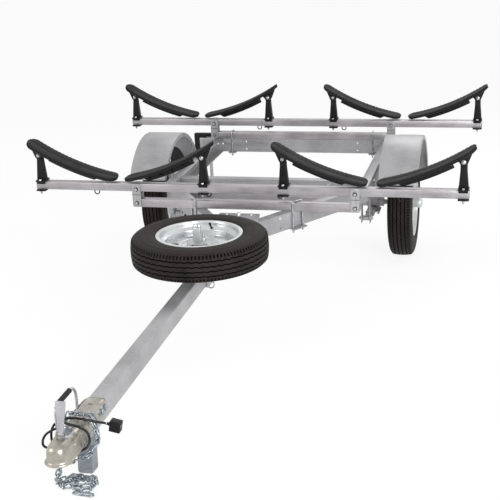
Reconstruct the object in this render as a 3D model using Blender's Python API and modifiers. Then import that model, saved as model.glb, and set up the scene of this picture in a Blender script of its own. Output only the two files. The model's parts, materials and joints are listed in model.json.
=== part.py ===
"""Two-kayak trailer on one sprung axle, standing on its tyres and its tongue foot.

The pieces are placed in the frame of the trailer: origin at the middle of the axle, +X to the
trailer's right as seen from the coupler, +Y towards the rear, +Z up from the frame. One empty, the
datum, leans that frame forward onto the foot and centres the whole over the world origin.
"""

from math import asin, atan2, cos, hypot, pi, radians, sin, tan

import bmesh
import bpy
from mathutils import Matrix, Vector

GAP = 0.0003  # between pieces that rest on each other
OVERLAP = 0.002  # how far joined shapes reach into each other
WALL = 0.0035  # steel of the rails, channels and coupler
TUBE_WALL = 0.0025  # steel of the square bars
CORNER = 0.003  # outside radius of a square tube

# Wheels and axle
TYRE_RADIUS = 0.270
TYRE_WIDTH = 0.123
TYRE_SIDES = 28
RIM_SIDES = 20
RIM_FLANGE_RADIUS = 0.169
BEAD_RADIUS = 0.1554
RIM_HALF_WIDTH = 0.056
RIM_WALL = 0.003
HUB_BORE_RADIUS = 0.033
LUG_CIRCLE_RADIUS = 0.0535
LUG_COUNT = 5
LUG_RADIUS = 0.006
SPOKE_COUNT = 5
WHEEL_X = 0.6313
AXLE_TUBE = 0.038
AXLE_HALF_LENGTH = 0.530
SPINDLE_RADIUS = 0.0127
BEARING_CLEARANCE = 0.0004
CAP_LENGTH = 0.0924
CAP_RADIUS = 0.026

# Springs
SPRING_X = 0.4775
SPRING_WIDTH = 0.036
SPRING_HALF_LENGTH = 0.290
LEAF = 0.006
LEAF_COUNT = 3
SPRING_ROD_RADIUS = 0.0045
EYE_Z = 0.002
EYE_RADIUS = 0.012
HANGER_BOLT_RADIUS = 0.005

# Frame
RAIL_HEIGHT = 0.076
RAIL_TOP = 0.188
RAIL_DEPTH = 0.045
V_ANGLE = 0.5738
V_X = 0.3605
V_Y = -0.600
SIDE_RAIL_X = 0.500
TONGUE_WIDTH = 0.052
TONGUE_HEIGHT = 0.066
TONGUE_TOP = 0.168
TONGUE_FRONT = -2.795
TONGUE_REAR = -0.930
FRONT_CHANNEL_Y = -0.300
REAR_CHANNEL_Y = 0.546
REAR_CHANNEL_HALF = 0.560
BAR = 0.0381
FRONT_BAR_Y = -0.793
REAR_BAR_Y = 0.565
LOWER_BAR_HALF = 0.520
LOAD_BAR_HALF = 0.9906
BAR_GAP = 0.0356
BRACKET_WIDTH = 0.041
BRACKET_PLATE = 0.003
BRACKET_X = 0.5015
BRACKET_CORNER = 0.006
BRACKET_HOLE_RADIUS = 0.005
U_BOLT_RADIUS = 0.004
U_BOLT_BEND = 0.006
REAR_U_BOLT_X = 0.400
GUSSET = 0.005
GUSSET_LENGTH = 0.310
GUSSET_WIDTH = 0.224
GUSSET_TO_BAR = 0.068
GUSSET_BOLT_RADIUS = 0.006
GUSSET_HEAD_RADIUS = 0.0085
GUSSET_HEAD = 0.008
RAIL_HOLE_RADIUS = 0.0065
RAIL_HOLE_X = 0.182
RAIL_HOLE_SPREAD = 0.044

# Fenders and lights
FENDER_RADIUS = 0.338
FENDER_SHEET = 0.0025
FENDER_LIP = 0.016
FENDER_INNER_X = 0.535
FENDER_OUTER_X = 0.725
FENDER_START = 30
FENDER_END = 165
STAY_REACH = 0.200
STAY_WIDTH = 0.026
LIGHT_X = 0.585
LIGHT_WIDTH = 0.110
LIGHT_HEIGHT = 0.110
LIGHT_DEPTH = 0.045

# Spare wheel
SPARE_Y = -1.518
SPARE_Z = 0.2533
CARRIER_PLATE = 0.006

# Coupler, foot and front end
BALL_Y = -2.951
SOCKET_RADIUS = 0.0245
DOME_RADIUS = 0.033
DOME_TOP = 0.180
LIP_TOP = 0.128
LIP_BOTTOM = 0.122
LIP_RADIUS = 0.040
LIP_REAR = -2.800
NECK_REAR = -2.655
LEVER_PIVOT_Y = -2.922
LEVER_PIVOT_Z = 0.190
LEVER_HEIGHT = 0.086
LEVER_TOP_WIDTH = 0.029
LEVER_BASE_WIDTH = 0.016
LEVER_THICK = 0.006
HANDLE_RADIUS = 0.0045
HANDLE_Z = 0.242
HANDLE_FRONT = -2.868
HANDLE_REAR = -2.722
HANDLE_BEND = 0.020
FOOT_Y = -2.773
FOOT_WIDTH = 0.048
FOOT_DEPTH = 0.040
FOOT_DROP = 0.012
FOOT_CORNER = 0.010

# Kayak carriers
CRADLE_X = 0.575
PIVOT_OFFSET = 0.391
PIVOT_Z = 0.424
WING_LENGTH = 0.460
WING_WIDTH = 0.120
WING_THICK = 0.018
WING_LOW_OFFSET = 0.0195
WING_LOW_Z = 0.317
WING_LOW_ANGLE = 10
WING_HIGH_ANGLE = 34
WEB_DEPTH = 0.024
WEB_THICK = 0.012
KNUCKLE_RADIUS = 0.018
KNUCKLE_WIDTH = 0.030
EAR_THICK = 0.005
PIVOT_BOLT_RADIUS = 0.005
POST_BASE = 0.048
POST_PLATE = 0.005

# Chains and cable
CHAIN_RADIUS = 0.008
CHAIN_SPACING = 0.020  # between the points of a chain's route
CABLE_RADIUS = 0.0035
CABLE_SPACING = 0.0165
PLUG_SIZE = 0.036
PLUG_DEPTH = 0.030
GROMMET_Y = -2.600
GROMMET_Z = 0.135
GROMMET_LENGTH = 0.004

# Worked out from the values above
AXLE_HEIGHT = TYRE_RADIUS * cos(pi / TYRE_SIDES)
LEAN = atan2(-FOOT_DROP, -FOOT_Y) + asin(AXLE_HEIGHT / hypot(FOOT_Y, FOOT_DROP))
RAIL_BOTTOM = RAIL_TOP - RAIL_HEIGHT
LOWER_BAR_Z = RAIL_TOP + GAP + BAR / 2
LOAD_BAR_Z = LOWER_BAR_Z + BAR + BAR_GAP
TONGUE_BOTTOM = TONGUE_TOP - TONGUE_HEIGHT
NECK_HALF_WIDTH = TONGUE_WIDTH / 2 + GAP + WALL
CLAMP_Y = BALL_Y + SOCKET_RADIUS + 0.010


def clear_scene():
    for obj in list(bpy.data.objects):
        bpy.data.objects.remove(obj, do_unlink=True)


def new_collection(name):
    collection = bpy.data.collections.new(name)
    bpy.context.scene.collection.children.link(collection)
    return collection


def new_empty(name, location, tilt=0.0):
    empty = bpy.data.objects.new(name, None)
    empty.location = location
    empty.rotation_euler = (tilt, 0, 0)
    PARTS.objects.link(empty)
    return empty


def new_material(name, colour, roughness, metallic=0.0):
    material = bpy.data.materials.new(name)
    material.use_nodes = True
    shader = material.node_tree.nodes["Principled BSDF"]
    shader.inputs["Base Color"].default_value = (*colour, 1)
    shader.inputs["Roughness"].default_value = roughness
    shader.inputs["Metallic"].default_value = metallic
    return material


clear_scene()
PARTS = new_collection("kayak_trailer")
SHAPES = new_collection("construction_shapes")
DATUM = new_empty("trailer_datum", (0, 0, AXLE_HEIGHT), LEAN)

GALVANISED = new_material("galvanised_steel", (0.55, 0.56, 0.56), 0.45, 0.9)
ZINC = new_material("zinc_plated_steel", (0.66, 0.66, 0.64), 0.3, 0.95)
COUPLER_ZINC = new_material("coupler_zinc", (0.48, 0.45, 0.36), 0.35, 0.85)
RUBBER = new_material("tyre_rubber", (0.020, 0.017, 0.017), 0.75)
BLACK_PLASTIC = new_material("black_plastic", (0.015, 0.015, 0.016), 0.5)
PAD = new_material("carrier_pad", (0.012, 0.012, 0.012), 0.8)
RED_LENS = new_material("red_lens", (0.45, 0.01, 0.01), 0.15)
GREY_LEVER = new_material("lever_coating", (0.62, 0.62, 0.68), 0.4, 0.3)


def add(name, mesh, material=None, location=(0, 0, 0), rotation=(0, 0, 0)):
    """A named object under the datum; without a material it is a shape for a Boolean only."""
    obj = bpy.data.objects.new(name, mesh)
    obj.location = location
    obj.rotation_euler = rotation
    obj.parent = DATUM
    if material:
        PARTS.objects.link(obj)
        if not mesh.materials:
            mesh.materials.append(material)
    else:
        SHAPES.objects.link(obj)
        obj.hide_render = True
        obj.display_type = "WIRE"
    return obj


def finished_mesh(build, name):
    mesh = bpy.data.meshes.new(name)
    bmesh.ops.recalc_face_normals(build, faces=build.faces)
    build.to_mesh(mesh)
    build.free()
    return mesh


def box_mesh(name, low, high, round_axis=None, radius=0.0, segments=1):
    """A box between two corners; the four edges along round_axis can be rounded."""
    build = bmesh.new()
    bmesh.ops.create_cube(build, size=1)
    size = Vector(high) - Vector(low)
    bmesh.ops.scale(build, vec=size, verts=build.verts)
    if round_axis is not None:
        edges = [e for e in build.edges if abs((e.verts[0].co - e.verts[1].co)[round_axis]) > 1e-6]
        bmesh.ops.bevel(build, geom=edges, offset=radius, segments=segments, profile=0.5, affect="EDGES")
    bmesh.ops.translate(build, vec=(Vector(low) + Vector(high)) / 2, verts=build.verts)
    return finished_mesh(build, name)


def cylinder_mesh(name, radius, length, axis="Z", sides=16, centre=(0, 0, 0), turn=0.0):
    build = bmesh.new()
    bmesh.ops.create_cone(
        build, cap_ends=True, segments=sides, radius1=radius, radius2=radius, depth=length
    )
    turned = {
        "X": Matrix.Rotation(pi / 2, 3, "Y"),
        "Y": Matrix.Rotation(-pi / 2, 3, "X"),
        "Z": Matrix.Identity(3),
    }[axis]
    matrix = turned @ Matrix.Rotation(turn, 3, "Z")
    bmesh.ops.rotate(build, cent=(0, 0, 0), matrix=matrix, verts=build.verts)
    bmesh.ops.translate(build, vec=centre, verts=build.verts)
    return finished_mesh(build, name)


def outline_mesh(name, points, thickness, plane="XY", centre=(0, 0, 0)):
    """A flat outline given thickness evenly on both sides of its plane."""
    curve = bpy.data.curves.new(name, "CURVE")
    curve.dimensions = "2D"
    curve.fill_mode = "BOTH"
    curve.extrude = thickness / 2
    spline = curve.splines.new("POLY")
    spline.points.add(len(points) - 1)
    for point, (a, b) in zip(spline.points, points):
        point.co = (a, b, 0, 1)
    spline.use_cyclic_u = True
    holder = bpy.data.objects.new(name, curve)
    bpy.context.scene.collection.objects.link(holder)
    mesh = bpy.data.meshes.new_from_object(
        holder.evaluated_get(bpy.context.evaluated_depsgraph_get())
    )
    bpy.data.objects.remove(holder, do_unlink=True)
    turned = {
        "XY": Matrix.Identity(4),
        "XZ": Matrix.Rotation(pi / 2, 4, "X"),
        "YZ": Matrix.Rotation(pi / 2, 4, "Z") @ Matrix.Rotation(pi / 2, 4, "X"),
    }[plane]
    build = bmesh.new()
    build.from_mesh(mesh)
    bmesh.ops.remove_doubles(build, verts=build.verts, dist=1e-6)
    bmesh.ops.transform(build, matrix=Matrix.Translation(centre) @ turned, verts=build.verts)
    return finished_mesh(build, name)


def turned_object(name, profile, sides, material, axis="Z", location=(0, 0, 0), turn=0.0):
    """A turned piece: (radius, height) points, closed into a ring or ending on the axis."""
    build = bmesh.new()
    verts = [build.verts.new((radius, 0, height)) for radius, height in profile]
    for first, second in zip(verts, verts[1:]):
        build.edges.new((first, second))
    if profile[0][0] > 0:
        build.edges.new((verts[-1], verts[0]))
    mesh = bpy.data.meshes.new(name)
    build.to_mesh(mesh)
    build.free()
    rotation = (0, pi / 2, 0) if axis == "X" else (0, 0, 0)
    obj = add(name, mesh, material, location, rotation)
    screw = obj.modifiers.new("turned", "SCREW")
    screw.steps = screw.render_steps = sides
    screw.use_merge_vertices = True
    screw.merge_threshold = 1e-5
    obj.data.transform(Matrix.Rotation(turn, 4, "Z"))
    return obj


def rod_mesh(name, points, radius, resolution=2):
    """A round bar that follows points, with welded end caps."""
    curve = bpy.data.curves.new(name, "CURVE")
    curve.dimensions = "3D"
    curve.bevel_depth = radius
    curve.bevel_resolution = resolution
    curve.use_fill_caps = True
    spline = curve.splines.new("POLY")
    spline.points.add(len(points) - 1)
    for point, co in zip(spline.points, points):
        point.co = (*co, 1)
    holder = bpy.data.objects.new(name, curve)
    bpy.context.scene.collection.objects.link(holder)
    mesh = bpy.data.meshes.new_from_object(
        holder.evaluated_get(bpy.context.evaluated_depsgraph_get())
    )
    bpy.data.objects.remove(holder, do_unlink=True)
    build = bmesh.new()
    build.from_mesh(mesh)
    bmesh.ops.remove_doubles(build, verts=build.verts, dist=1e-6)
    return finished_mesh(build, name)


def boolean(obj, operation, *meshes):
    """Joins meshes to obj, or cuts them from it, with one modifier each."""
    for mesh in meshes:
        shape = add(mesh.name, mesh, None, obj.location, obj.rotation_euler)
        modifier = obj.modifiers.new(mesh.name, "BOOLEAN")
        modifier.operation = operation
        modifier.solver = "EXACT"
        modifier.object = shape
    return obj


def join(obj, *meshes):
    return boolean(obj, "UNION", *meshes)


def cut(obj, *meshes):
    return boolean(obj, "DIFFERENCE", *meshes)


def solidified(obj):
    """The object's mesh with its modifiers applied, to share among copies."""
    bpy.context.view_layer.update()
    graph = bpy.context.evaluated_depsgraph_get()
    return bpy.data.meshes.new_from_object(obj.evaluated_get(graph))


def print_least_gap(name, points, radius):
    """Prints how close a cord comes to itself, measured between points on its smooth route."""
    fine = smooth_points(points, radius)
    neighbours = 6
    least = min(
        (fine[i] - fine[j]).length for i in range(len(fine)) for j in range(i + neighbours, len(fine))
    )
    print(f"{name}: least gap to itself {1000 * (least - 2 * radius):.2f} mm")


def settled(obj, name):
    """The helper's solid mesh in the frame of the trailer; the helper is removed."""
    mesh = solidified(obj)
    mesh.transform(obj.matrix_basis)
    mesh.name = name
    bpy.data.objects.remove(obj, do_unlink=True)
    return mesh


def smooth_points(route, spacing):
    """Evenly spaced points on a Catmull-Rom curve through the route."""
    route = [Vector(point) for point in route]
    ends = [2 * route[0] - route[1], *route, 2 * route[-1] - route[-2]]
    fine = []
    for before, start, end, after in zip(ends, ends[1:], ends[2:], ends[3:]):
        for step in range(12):
            t = step / 12
            fine.append(
                0.5
                * (
                    2 * start
                    + (end - before) * t
                    + (2 * before - 5 * start + 4 * end - after) * t**2
                    + (3 * start - before - 3 * end + after) * t**3
                )
            )
    fine.append(route[-1])
    length = sum((b - a).length for a, b in zip(fine, fine[1:]))
    count = max(2, round(length / spacing))
    points, target, walked = [fine[0]], length / count, 0.0
    for a, b in zip(fine, fine[1:]):
        step = (b - a).length
        while step and walked + step >= target * len(points) and len(points) < count:
            points.append(a.lerp(b, (target * len(points) - walked) / step))
        walked += step
    points.append(fine[-1])
    return points


def arched(half, bend, low, high, steps=2):
    """Points up one leg of an arch, round its two bends and down the other leg."""
    left, right = [], []
    for step in range(steps + 1):
        angle = pi - step * pi / (2 * steps)
        left.append((-half + bend + bend * cos(angle), high - bend + bend * sin(angle)))
    right = [(-along, up) for along, up in reversed(left)]
    return [(-half, low), *left, *right, (half, low)]


def from_ground(x, y, z):
    """A point given over level ground, seen in the frame of the leaning trailer."""
    rise = z - AXLE_HEIGHT
    return (x, y * cos(LEAN) + rise * sin(LEAN), -y * sin(LEAN) + rise * cos(LEAN))


def square_tube(name, half_length, y, z, side=BAR):
    half = side / 2
    bar = add(
        name,
        box_mesh(name, (-half_length, y - half, z - half), (half_length, y + half, z + half), 0, CORNER, 2),
        GALVANISED,
    )
    inside, ends = half - TUBE_WALL, half_length + 0.01
    return cut(bar, box_mesh(name + "_bore", (-ends, y - inside, z - inside), (ends, y + inside, z + inside)))


def rail_outline(outer, inner, front_x, rear_y):
    """Plan of a frame rail between two distances in from its outer face."""

    def v_y(x, depth):
        return (x + depth / cos(V_ANGLE) - V_X) / tan(V_ANGLE) + V_Y

    return [
        (front_x, v_y(front_x, outer)),
        (SIDE_RAIL_X - outer, v_y(SIDE_RAIL_X - outer, outer)),
        (SIDE_RAIL_X - outer, rear_y),
        (SIDE_RAIL_X - inner, rear_y),
        (SIDE_RAIL_X - inner, v_y(SIDE_RAIL_X - inner, inner)),
        (front_x, v_y(front_x, inner)),
    ]


def mirrored(points, side):
    return [(side * x, y) for x, y in points]


def frame_rail(name, side):
    """V arm and side rail in one bent channel, open inwards, with its two spring hangers."""
    middle = (RAIL_TOP + RAIL_BOTTOM) / 2
    front_x = TONGUE_WIDTH / 2 + GAP
    rear_y = REAR_CHANNEL_Y - GAP
    rail = add(
        name,
        outline_mesh(
            name,
            mirrored(rail_outline(0, RAIL_DEPTH, front_x, rear_y), side),
            RAIL_HEIGHT,
            centre=(0, 0, middle),
        ),
        GALVANISED,
    )
    hollow = rail_outline(WALL, RAIL_DEPTH + 0.02, front_x - 0.03, rear_y + 0.02)
    cut(
        rail,
        outline_mesh(
            name + "_hollow", mirrored(hollow, side), RAIL_HEIGHT - 2 * WALL, centre=(0, 0, middle)
        ),
    )
    hole_y = V_Y + (RAIL_HOLE_X - V_X) / tan(V_ANGLE)
    for word, up in (("upper", RAIL_HOLE_SPREAD / 2), ("lower", -RAIL_HOLE_SPREAD / 2)):
        hole = cylinder_mesh(f"{name}_{word}_hole", RAIL_HOLE_RADIUS, 4 * WALL, "X", 6)
        across = Matrix.Rotation(side * (V_ANGLE - pi), 4, "Z")
        hole.transform(Matrix.Translation((side * RAIL_HOLE_X, hole_y, middle + up)) @ across)
        cut(rail, hole)
    for end, y in (("front", -SPRING_HALF_LENGTH), ("rear", SPRING_HALF_LENGTH)):
        x = side * SPRING_X
        ear = SPRING_WIDTH / 2 + 0.0005
        half = ear + WALL
        low = EYE_Z - 0.020
        join(
            rail,
            box_mesh(
                f"{name}_{end}_hanger",
                (x - half, y - 0.025, low),
                (x + half, y + 0.025, RAIL_BOTTOM + OVERLAP),
            ),
        )
        cut(
            rail,
            box_mesh(
                f"{name}_{end}_slot", (x - ear, y - 0.03, low - 0.01), (x + ear, y + 0.03, RAIL_BOTTOM - WALL)
            ),
        )
        bolt_length = 2 * half + 0.024
        join(
            rail,
            cylinder_mesh(
                f"{name}_{end}_bolt", HANGER_BOLT_RADIUS, bolt_length, "X", 8, (x, y, EYE_Z)
            ),
        )
    return rail


def channel(name, low, high, web_thick, open_side):
    """A straight channel across the trailer, open towards open_side (+1 rear, -1 front)."""
    obj = add(name, box_mesh(name, low, high, 0, CORNER / 2), GALVANISED)
    inner_low = [low[0] - 0.01, low[1] - 0.01, low[2] + web_thick]
    inner_high = [high[0] + 0.01, high[1] + 0.01, high[2] - web_thick]
    if open_side > 0:
        inner_low[1] = low[1] + web_thick
    else:
        inner_high[1] = high[1] - web_thick
    return cut(obj, box_mesh(name + "_hollow", inner_low, inner_high))


def cross_channels():
    front_half = SIDE_RAIL_X - RAIL_DEPTH - GAP
    channel(
        "front_cross_channel",
        (-front_half, FRONT_CHANNEL_Y, RAIL_BOTTOM),
        (front_half, FRONT_CHANNEL_Y + RAIL_DEPTH, RAIL_TOP),
        WALL,
        1,
    )
    rear = channel(
        "rear_cross_channel",
        (-REAR_CHANNEL_HALF, REAR_CHANNEL_Y, RAIL_BOTTOM),
        (REAR_CHANNEL_HALF, REAR_CHANNEL_Y + RAIL_DEPTH, RAIL_TOP),
        WALL,
        1,
    )
    middle = (RAIL_TOP + RAIL_BOTTOM) / 2
    for side in (-1, 1):
        holes = [(0.510, 0.008), (0.483, 0.008), (0.455, 0.008), (0.317, 0.022), (0.317, -0.022)]
        for index, (x, up) in enumerate(holes):
            name = f"rear_hole_{'left' if side < 0 else 'right'}_{index}"
            place = (side * x, REAR_CHANNEL_Y, middle + up)
            cut(rear, cylinder_mesh(name, 0.0045, 0.03, "Y", 6, place))


def gussets():
    """Plates over and under the V, tied by two spacer bolts behind the tongue's end."""
    rear = FRONT_BAR_Y - BAR / 2 - GUSSET_TO_BAR
    front, half = rear - GUSSET_LENGTH, GUSSET_WIDTH / 2
    widest = rear - 0.45 * GUSSET_LENGTH
    plan = [
        (-0.40 * half, front),
        (0.40 * half, front),
        (half, widest),
        (0.80 * half, rear),
        (-0.80 * half, rear),
        (-half, widest),
    ]
    top_z, low_z = RAIL_TOP + GAP + GUSSET / 2, TONGUE_BOTTOM - GAP - GUSSET / 2
    obj = add("gusset_plates", outline_mesh("gusset_plates", plan, GUSSET, centre=(0, 0, top_z)), GALVANISED)
    join(obj, outline_mesh("gusset_lower", plan, GUSSET, centre=(0, 0, low_z)))
    spacers = [(side * half / 2, rear - 4 * GUSSET_BOLT_RADIUS) for side in (-1, 1)]
    spacer_length = top_z - low_z + GUSSET + 2 * GUSSET_HEAD - OVERLAP
    for index, (x, y) in enumerate(spacers):
        middle = (x, y, (top_z + low_z) / 2)
        join(obj, cylinder_mesh(f"gusset_spacer_{index}", GUSSET_BOLT_RADIUS, spacer_length, "Z", 6, middle))
    heads = spacers + [(half / 2, widest), (-half / 2, widest), (0, front + GUSSET_LENGTH / 6)]
    head_z = top_z + (GUSSET + GUSSET_HEAD) / 2 - OVERLAP
    for index, (x, y) in enumerate(heads):
        head = cylinder_mesh(f"gusset_head_{index}", GUSSET_HEAD_RADIUS, GUSSET_HEAD, "Z", 6, (x, y, head_z))
        join(obj, head)


def bars():
    for place, y in (("front", FRONT_BAR_Y), ("rear", REAR_BAR_Y)):
        square_tube(f"lower_bar_{place}", LOWER_BAR_HALF, y, LOWER_BAR_Z)
        square_tube(f"load_bar_{place}", LOAD_BAR_HALF, y, LOAD_BAR_Z)
        for side, word in ((-1, "left"), (1, "right")):
            bar_bracket(f"bar_bracket_{place}_{word}", side * BRACKET_X, y)


def bar_bracket(name, x, y):
    """Two plates joined by a web between the bars: it clamps the load bar over the lower bar."""
    low = LOWER_BAR_Z - BAR / 2 + 0.001
    high = LOAD_BAR_Z + BAR / 2
    inside = BAR / 2 + GAP
    outside = inside + BRACKET_PLATE
    half = BRACKET_WIDTH / 2
    blank = box_mesh(name, (x - half, y - outside, low), (x + half, y + outside, high), 1, BRACKET_CORNER)
    obj = add(name, blank, GALVANISED)
    web_low = LOWER_BAR_Z + BAR / 2 + GAP
    web_middle = (LOWER_BAR_Z + LOAD_BAR_Z) / 2
    reach = half + 0.01
    cut(
        obj,
        box_mesh(name + "_lower", (x - reach, y - inside, low - 0.01), (x + reach, y + inside, web_low)),
        box_mesh(
            name + "_upper",
            (x - reach, y - inside, web_middle + BRACKET_PLATE / 2),
            (x + reach, y + inside, high + 0.01),
        ),
        box_mesh(
            name + "_middle",
            (x - reach, y - inside, web_low - 0.001),
            (x + reach, y + inside, web_middle - BRACKET_PLATE / 2),
        ),
    )
    for word, z in (("lower", LOWER_BAR_Z), ("upper", LOAD_BAR_Z - BAR / 2 + 0.010)):
        cut(obj, cylinder_mesh(f"{name}_{word}_hole", BRACKET_HOLE_RADIUS, 4 * outside, "Y", 6, (x, y, z)))
    return obj


def u_bolt(name, x, y, spread, turn, top, bottom):
    """Bent rod over a bar with a plate and two nuts below, turned about the vertical."""
    half = spread / 2
    route = [(0, along, z) for along, z in arched(half, U_BOLT_BEND, bottom - 0.022, top)]
    rod = add(name, rod_mesh(name, route, U_BOLT_RADIUS, 1), ZINC, (x, y, 0), (0, 0, turn))
    plate_top = bottom - GAP
    plate = box_mesh(
        name + "_plate", (-0.022, -half - 0.012, plate_top - 0.005), (0.022, half + 0.012, plate_top)
    )
    nuts = [
        cylinder_mesh(f"{name}_nut_{word}", 0.0080, 0.008, "Z", 6, (0, end, plate_top - 0.008))
        for word, end in (("front", -half), ("rear", half))
    ]
    return join(rod, plate, *nuts)


def u_bolts():
    top = LOWER_BAR_Z + BAR / 2 + GAP + U_BOLT_RADIUS
    clear = U_BOLT_RADIUS + 0.0006
    spread_y = BAR + 2 * clear
    outside = V_X + (FRONT_BAR_Y - V_Y) * tan(V_ANGLE) + clear / cos(V_ANGLE)
    for side, word in ((-1, "left"), (1, "right")):
        u_bolt(
            f"u_bolt_front_{word}",
            side * outside,
            FRONT_BAR_Y,
            spread_y / cos(V_ANGLE) + 0.004,
            -side * V_ANGLE,
            top,
            RAIL_BOTTOM,
        )
        rear_front = min(REAR_CHANNEL_Y, REAR_BAR_Y - BAR / 2) - clear
        rear_back = max(REAR_CHANNEL_Y + RAIL_DEPTH, REAR_BAR_Y + BAR / 2) + clear
        u_bolt(
            f"u_bolt_rear_{word}",
            side * REAR_U_BOLT_X,
            (rear_front + rear_back) / 2,
            rear_back - rear_front,
            0,
            top,
            RAIL_BOTTOM,
        )


def tongue():
    half = TONGUE_WIDTH / 2
    obj = add(
        "tongue",
        box_mesh(
            "tongue", (-half, TONGUE_FRONT, TONGUE_BOTTOM), (half, TONGUE_REAR, TONGUE_TOP), 1, CORNER
        ),
        GALVANISED,
    )
    inside = half - WALL
    cut(
        obj,
        box_mesh(
            "tongue_bore",
            (-inside, TONGUE_FRONT - 0.01, TONGUE_BOTTOM + WALL),
            (inside, TONGUE_REAR + 0.01, TONGUE_TOP - WALL),
        ),
    )
    seat = -half - GROMMET_LENGTH / 2 + OVERLAP / 2
    grommet = (seat, GROMMET_Y, GROMMET_Z)
    join(obj, cylinder_mesh("cable_grommet", 0.008, GROMMET_LENGTH + OVERLAP, "X", 12, grommet))


def spring_point(y, depth):
    """A point on the sprung arc under the axle, depth below the main leaf's top."""
    seat = -AXLE_TUBE / 2 - 0.002
    rise = EYE_Z + LEAF / 2 - seat
    return (y, seat + rise * (y / SPRING_HALF_LENGTH) ** 2 - depth)


def leaf_spring(name, side):
    """Stacked leaves under the axle, stepped at their ends, with an eye round the front bolt."""
    count = 10
    reach = [SPRING_HALF_LENGTH * (1 - 0.3 * leaf) for leaf in range(LEAF_COUNT)]
    top = [
        spring_point(-reach[0] + 2 * reach[0] * step / count, 0) for step in range(count + 1)
    ]
    under = []
    for leaf in range(LEAF_COUNT):
        end = reach[leaf]
        following = reach[leaf + 1] if leaf + 1 < LEAF_COUNT else 0
        depth = LEAF * (leaf + 1)
        under.append([spring_point(end, depth), spring_point((end + following) / 2, depth)])
        if following:
            under[-1].append(spring_point(following, depth))
    right_side = [point for leaf in under for point in leaf]
    left_side = [(-y, z) for y, z in reversed(right_side[:-1])]
    outline = top + right_side + left_side
    x = side * SPRING_X
    obj = add(name, outline_mesh(name, outline, SPRING_WIDTH, "YZ", (x, 0, 0)), GALVANISED)
    for word, y in (("front", -SPRING_HALF_LENGTH), ("rear", SPRING_HALF_LENGTH)):
        join(obj, cylinder_mesh(f"{name}_{word}_eye", EYE_RADIUS, SPRING_WIDTH, "X", 8, (x, y, EYE_Z)))
    for word, y in (("front", -SPRING_HALF_LENGTH), ("rear", SPRING_HALF_LENGTH)):
        bore = HANGER_BOLT_RADIUS + 0.0008
        cut(obj, cylinder_mesh(f"{name}_{word}_bore", bore, 0.06, "X", 10, (x, y, EYE_Z)))
    return obj


def axle():
    """Square tube with round spindles, and the clamps that hold it on the springs."""
    half = AXLE_TUBE / 2
    obj = add(
        "axle",
        box_mesh("axle", (-AXLE_HALF_LENGTH, -half, -half), (AXLE_HALF_LENGTH, half, half), 0, CORNER),
        GALVANISED,
    )
    spindle = 2 * (WHEEL_X + 0.045)
    join(obj, cylinder_mesh("spindles", SPINDLE_RADIUS, spindle, "X", 12))
    clamp_y = half + SPRING_ROD_RADIUS + 0.001
    spring_low = -AXLE_TUBE / 2 - 0.002 - LEAF * LEAF_COUNT
    plate_top = spring_low - GAP
    for side, word in ((-1, "left"), (1, "right")):
        x = side * SPRING_X
        rod_x = SPRING_WIDTH / 2 + 0.0065
        pieces = [
            box_mesh(
                f"spring_plate_{word}",
                (x - 0.034, -clamp_y - 0.012, plate_top - 0.007),
                (x + 0.034, clamp_y + 0.012, plate_top),
            )
        ]
        rod_top = half + SPRING_ROD_RADIUS - OVERLAP
        for near in (-1, 1):
            arch = arched(clamp_y, 0.008, plate_top - 0.020, rod_top)
            route = [(x + near * rod_x, y, z) for y, z in arch]
            pieces.append(rod_mesh(f"spring_u_bolt_{word}_{near}", route, SPRING_ROD_RADIUS, 1))
        join(obj, *pieces)


def wheel_turn():
    """Turns the tread so that one of its flats lies level on the ground."""
    return -LEAN + pi / TYRE_SIDES


def rim_profile():
    """Outline of the rim, as (radius, distance along the axle); + is the outboard side."""
    w, flange, bead, wall = RIM_HALF_WIDTH, RIM_FLANGE_RADIUS, BEAD_RADIUS, RIM_WALL
    drop = 0.138
    inner_drop = drop - wall
    return [
        (flange, w),
        (flange, w - wall),
        (bead, w - wall),
        (drop, 0.022),
        (drop, -0.022),
        (bead, -w + wall),
        (flange, -w + wall),
        (flange, -w),
        (bead - wall, -w),
        (inner_drop, -0.024),
        (inner_drop, -0.004),
        (0.098, 0.010),
        (0.075, 0.010),
        (0.068, 0.0),
        (HUB_BORE_RADIUS, 0.0),
        (HUB_BORE_RADIUS, 0.004),
        (0.0665, 0.004),
        (0.0735, 0.014),
        (0.100, 0.014),
        (inner_drop, 0.001),
        (inner_drop, 0.024),
        (bead - wall, w),
    ]


def rim(name):
    """Spoked steel rim about its own Z axis, with windows and wheel bolt holes."""
    obj = turned_object(name, rim_profile(), RIM_SIDES, None)
    for index in range(SPOKE_COUNT):
        middle = 2 * pi * (index + 0.5) / SPOKE_COUNT
        wide = radians(21)
        outer = [(0.127, middle - wide), (0.127, middle + wide)]
        inner = [(0.084, middle + wide * 0.62), (0.084, middle - wide * 0.62)]
        window = [(r * cos(a), r * sin(a)) for r, a in outer + inner]
        cut(obj, outline_mesh(f"{name}_window_{index}", window, 0.06))
    for index in range(LUG_COUNT):
        angle = 2 * pi * index / LUG_COUNT
        place = (LUG_CIRCLE_RADIUS * cos(angle), LUG_CIRCLE_RADIUS * sin(angle), 0)
        cut(obj, cylinder_mesh(f"{name}_hole_{index}", LUG_RADIUS + 0.0016, 0.03, "Z", 6, place))
    return obj


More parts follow.
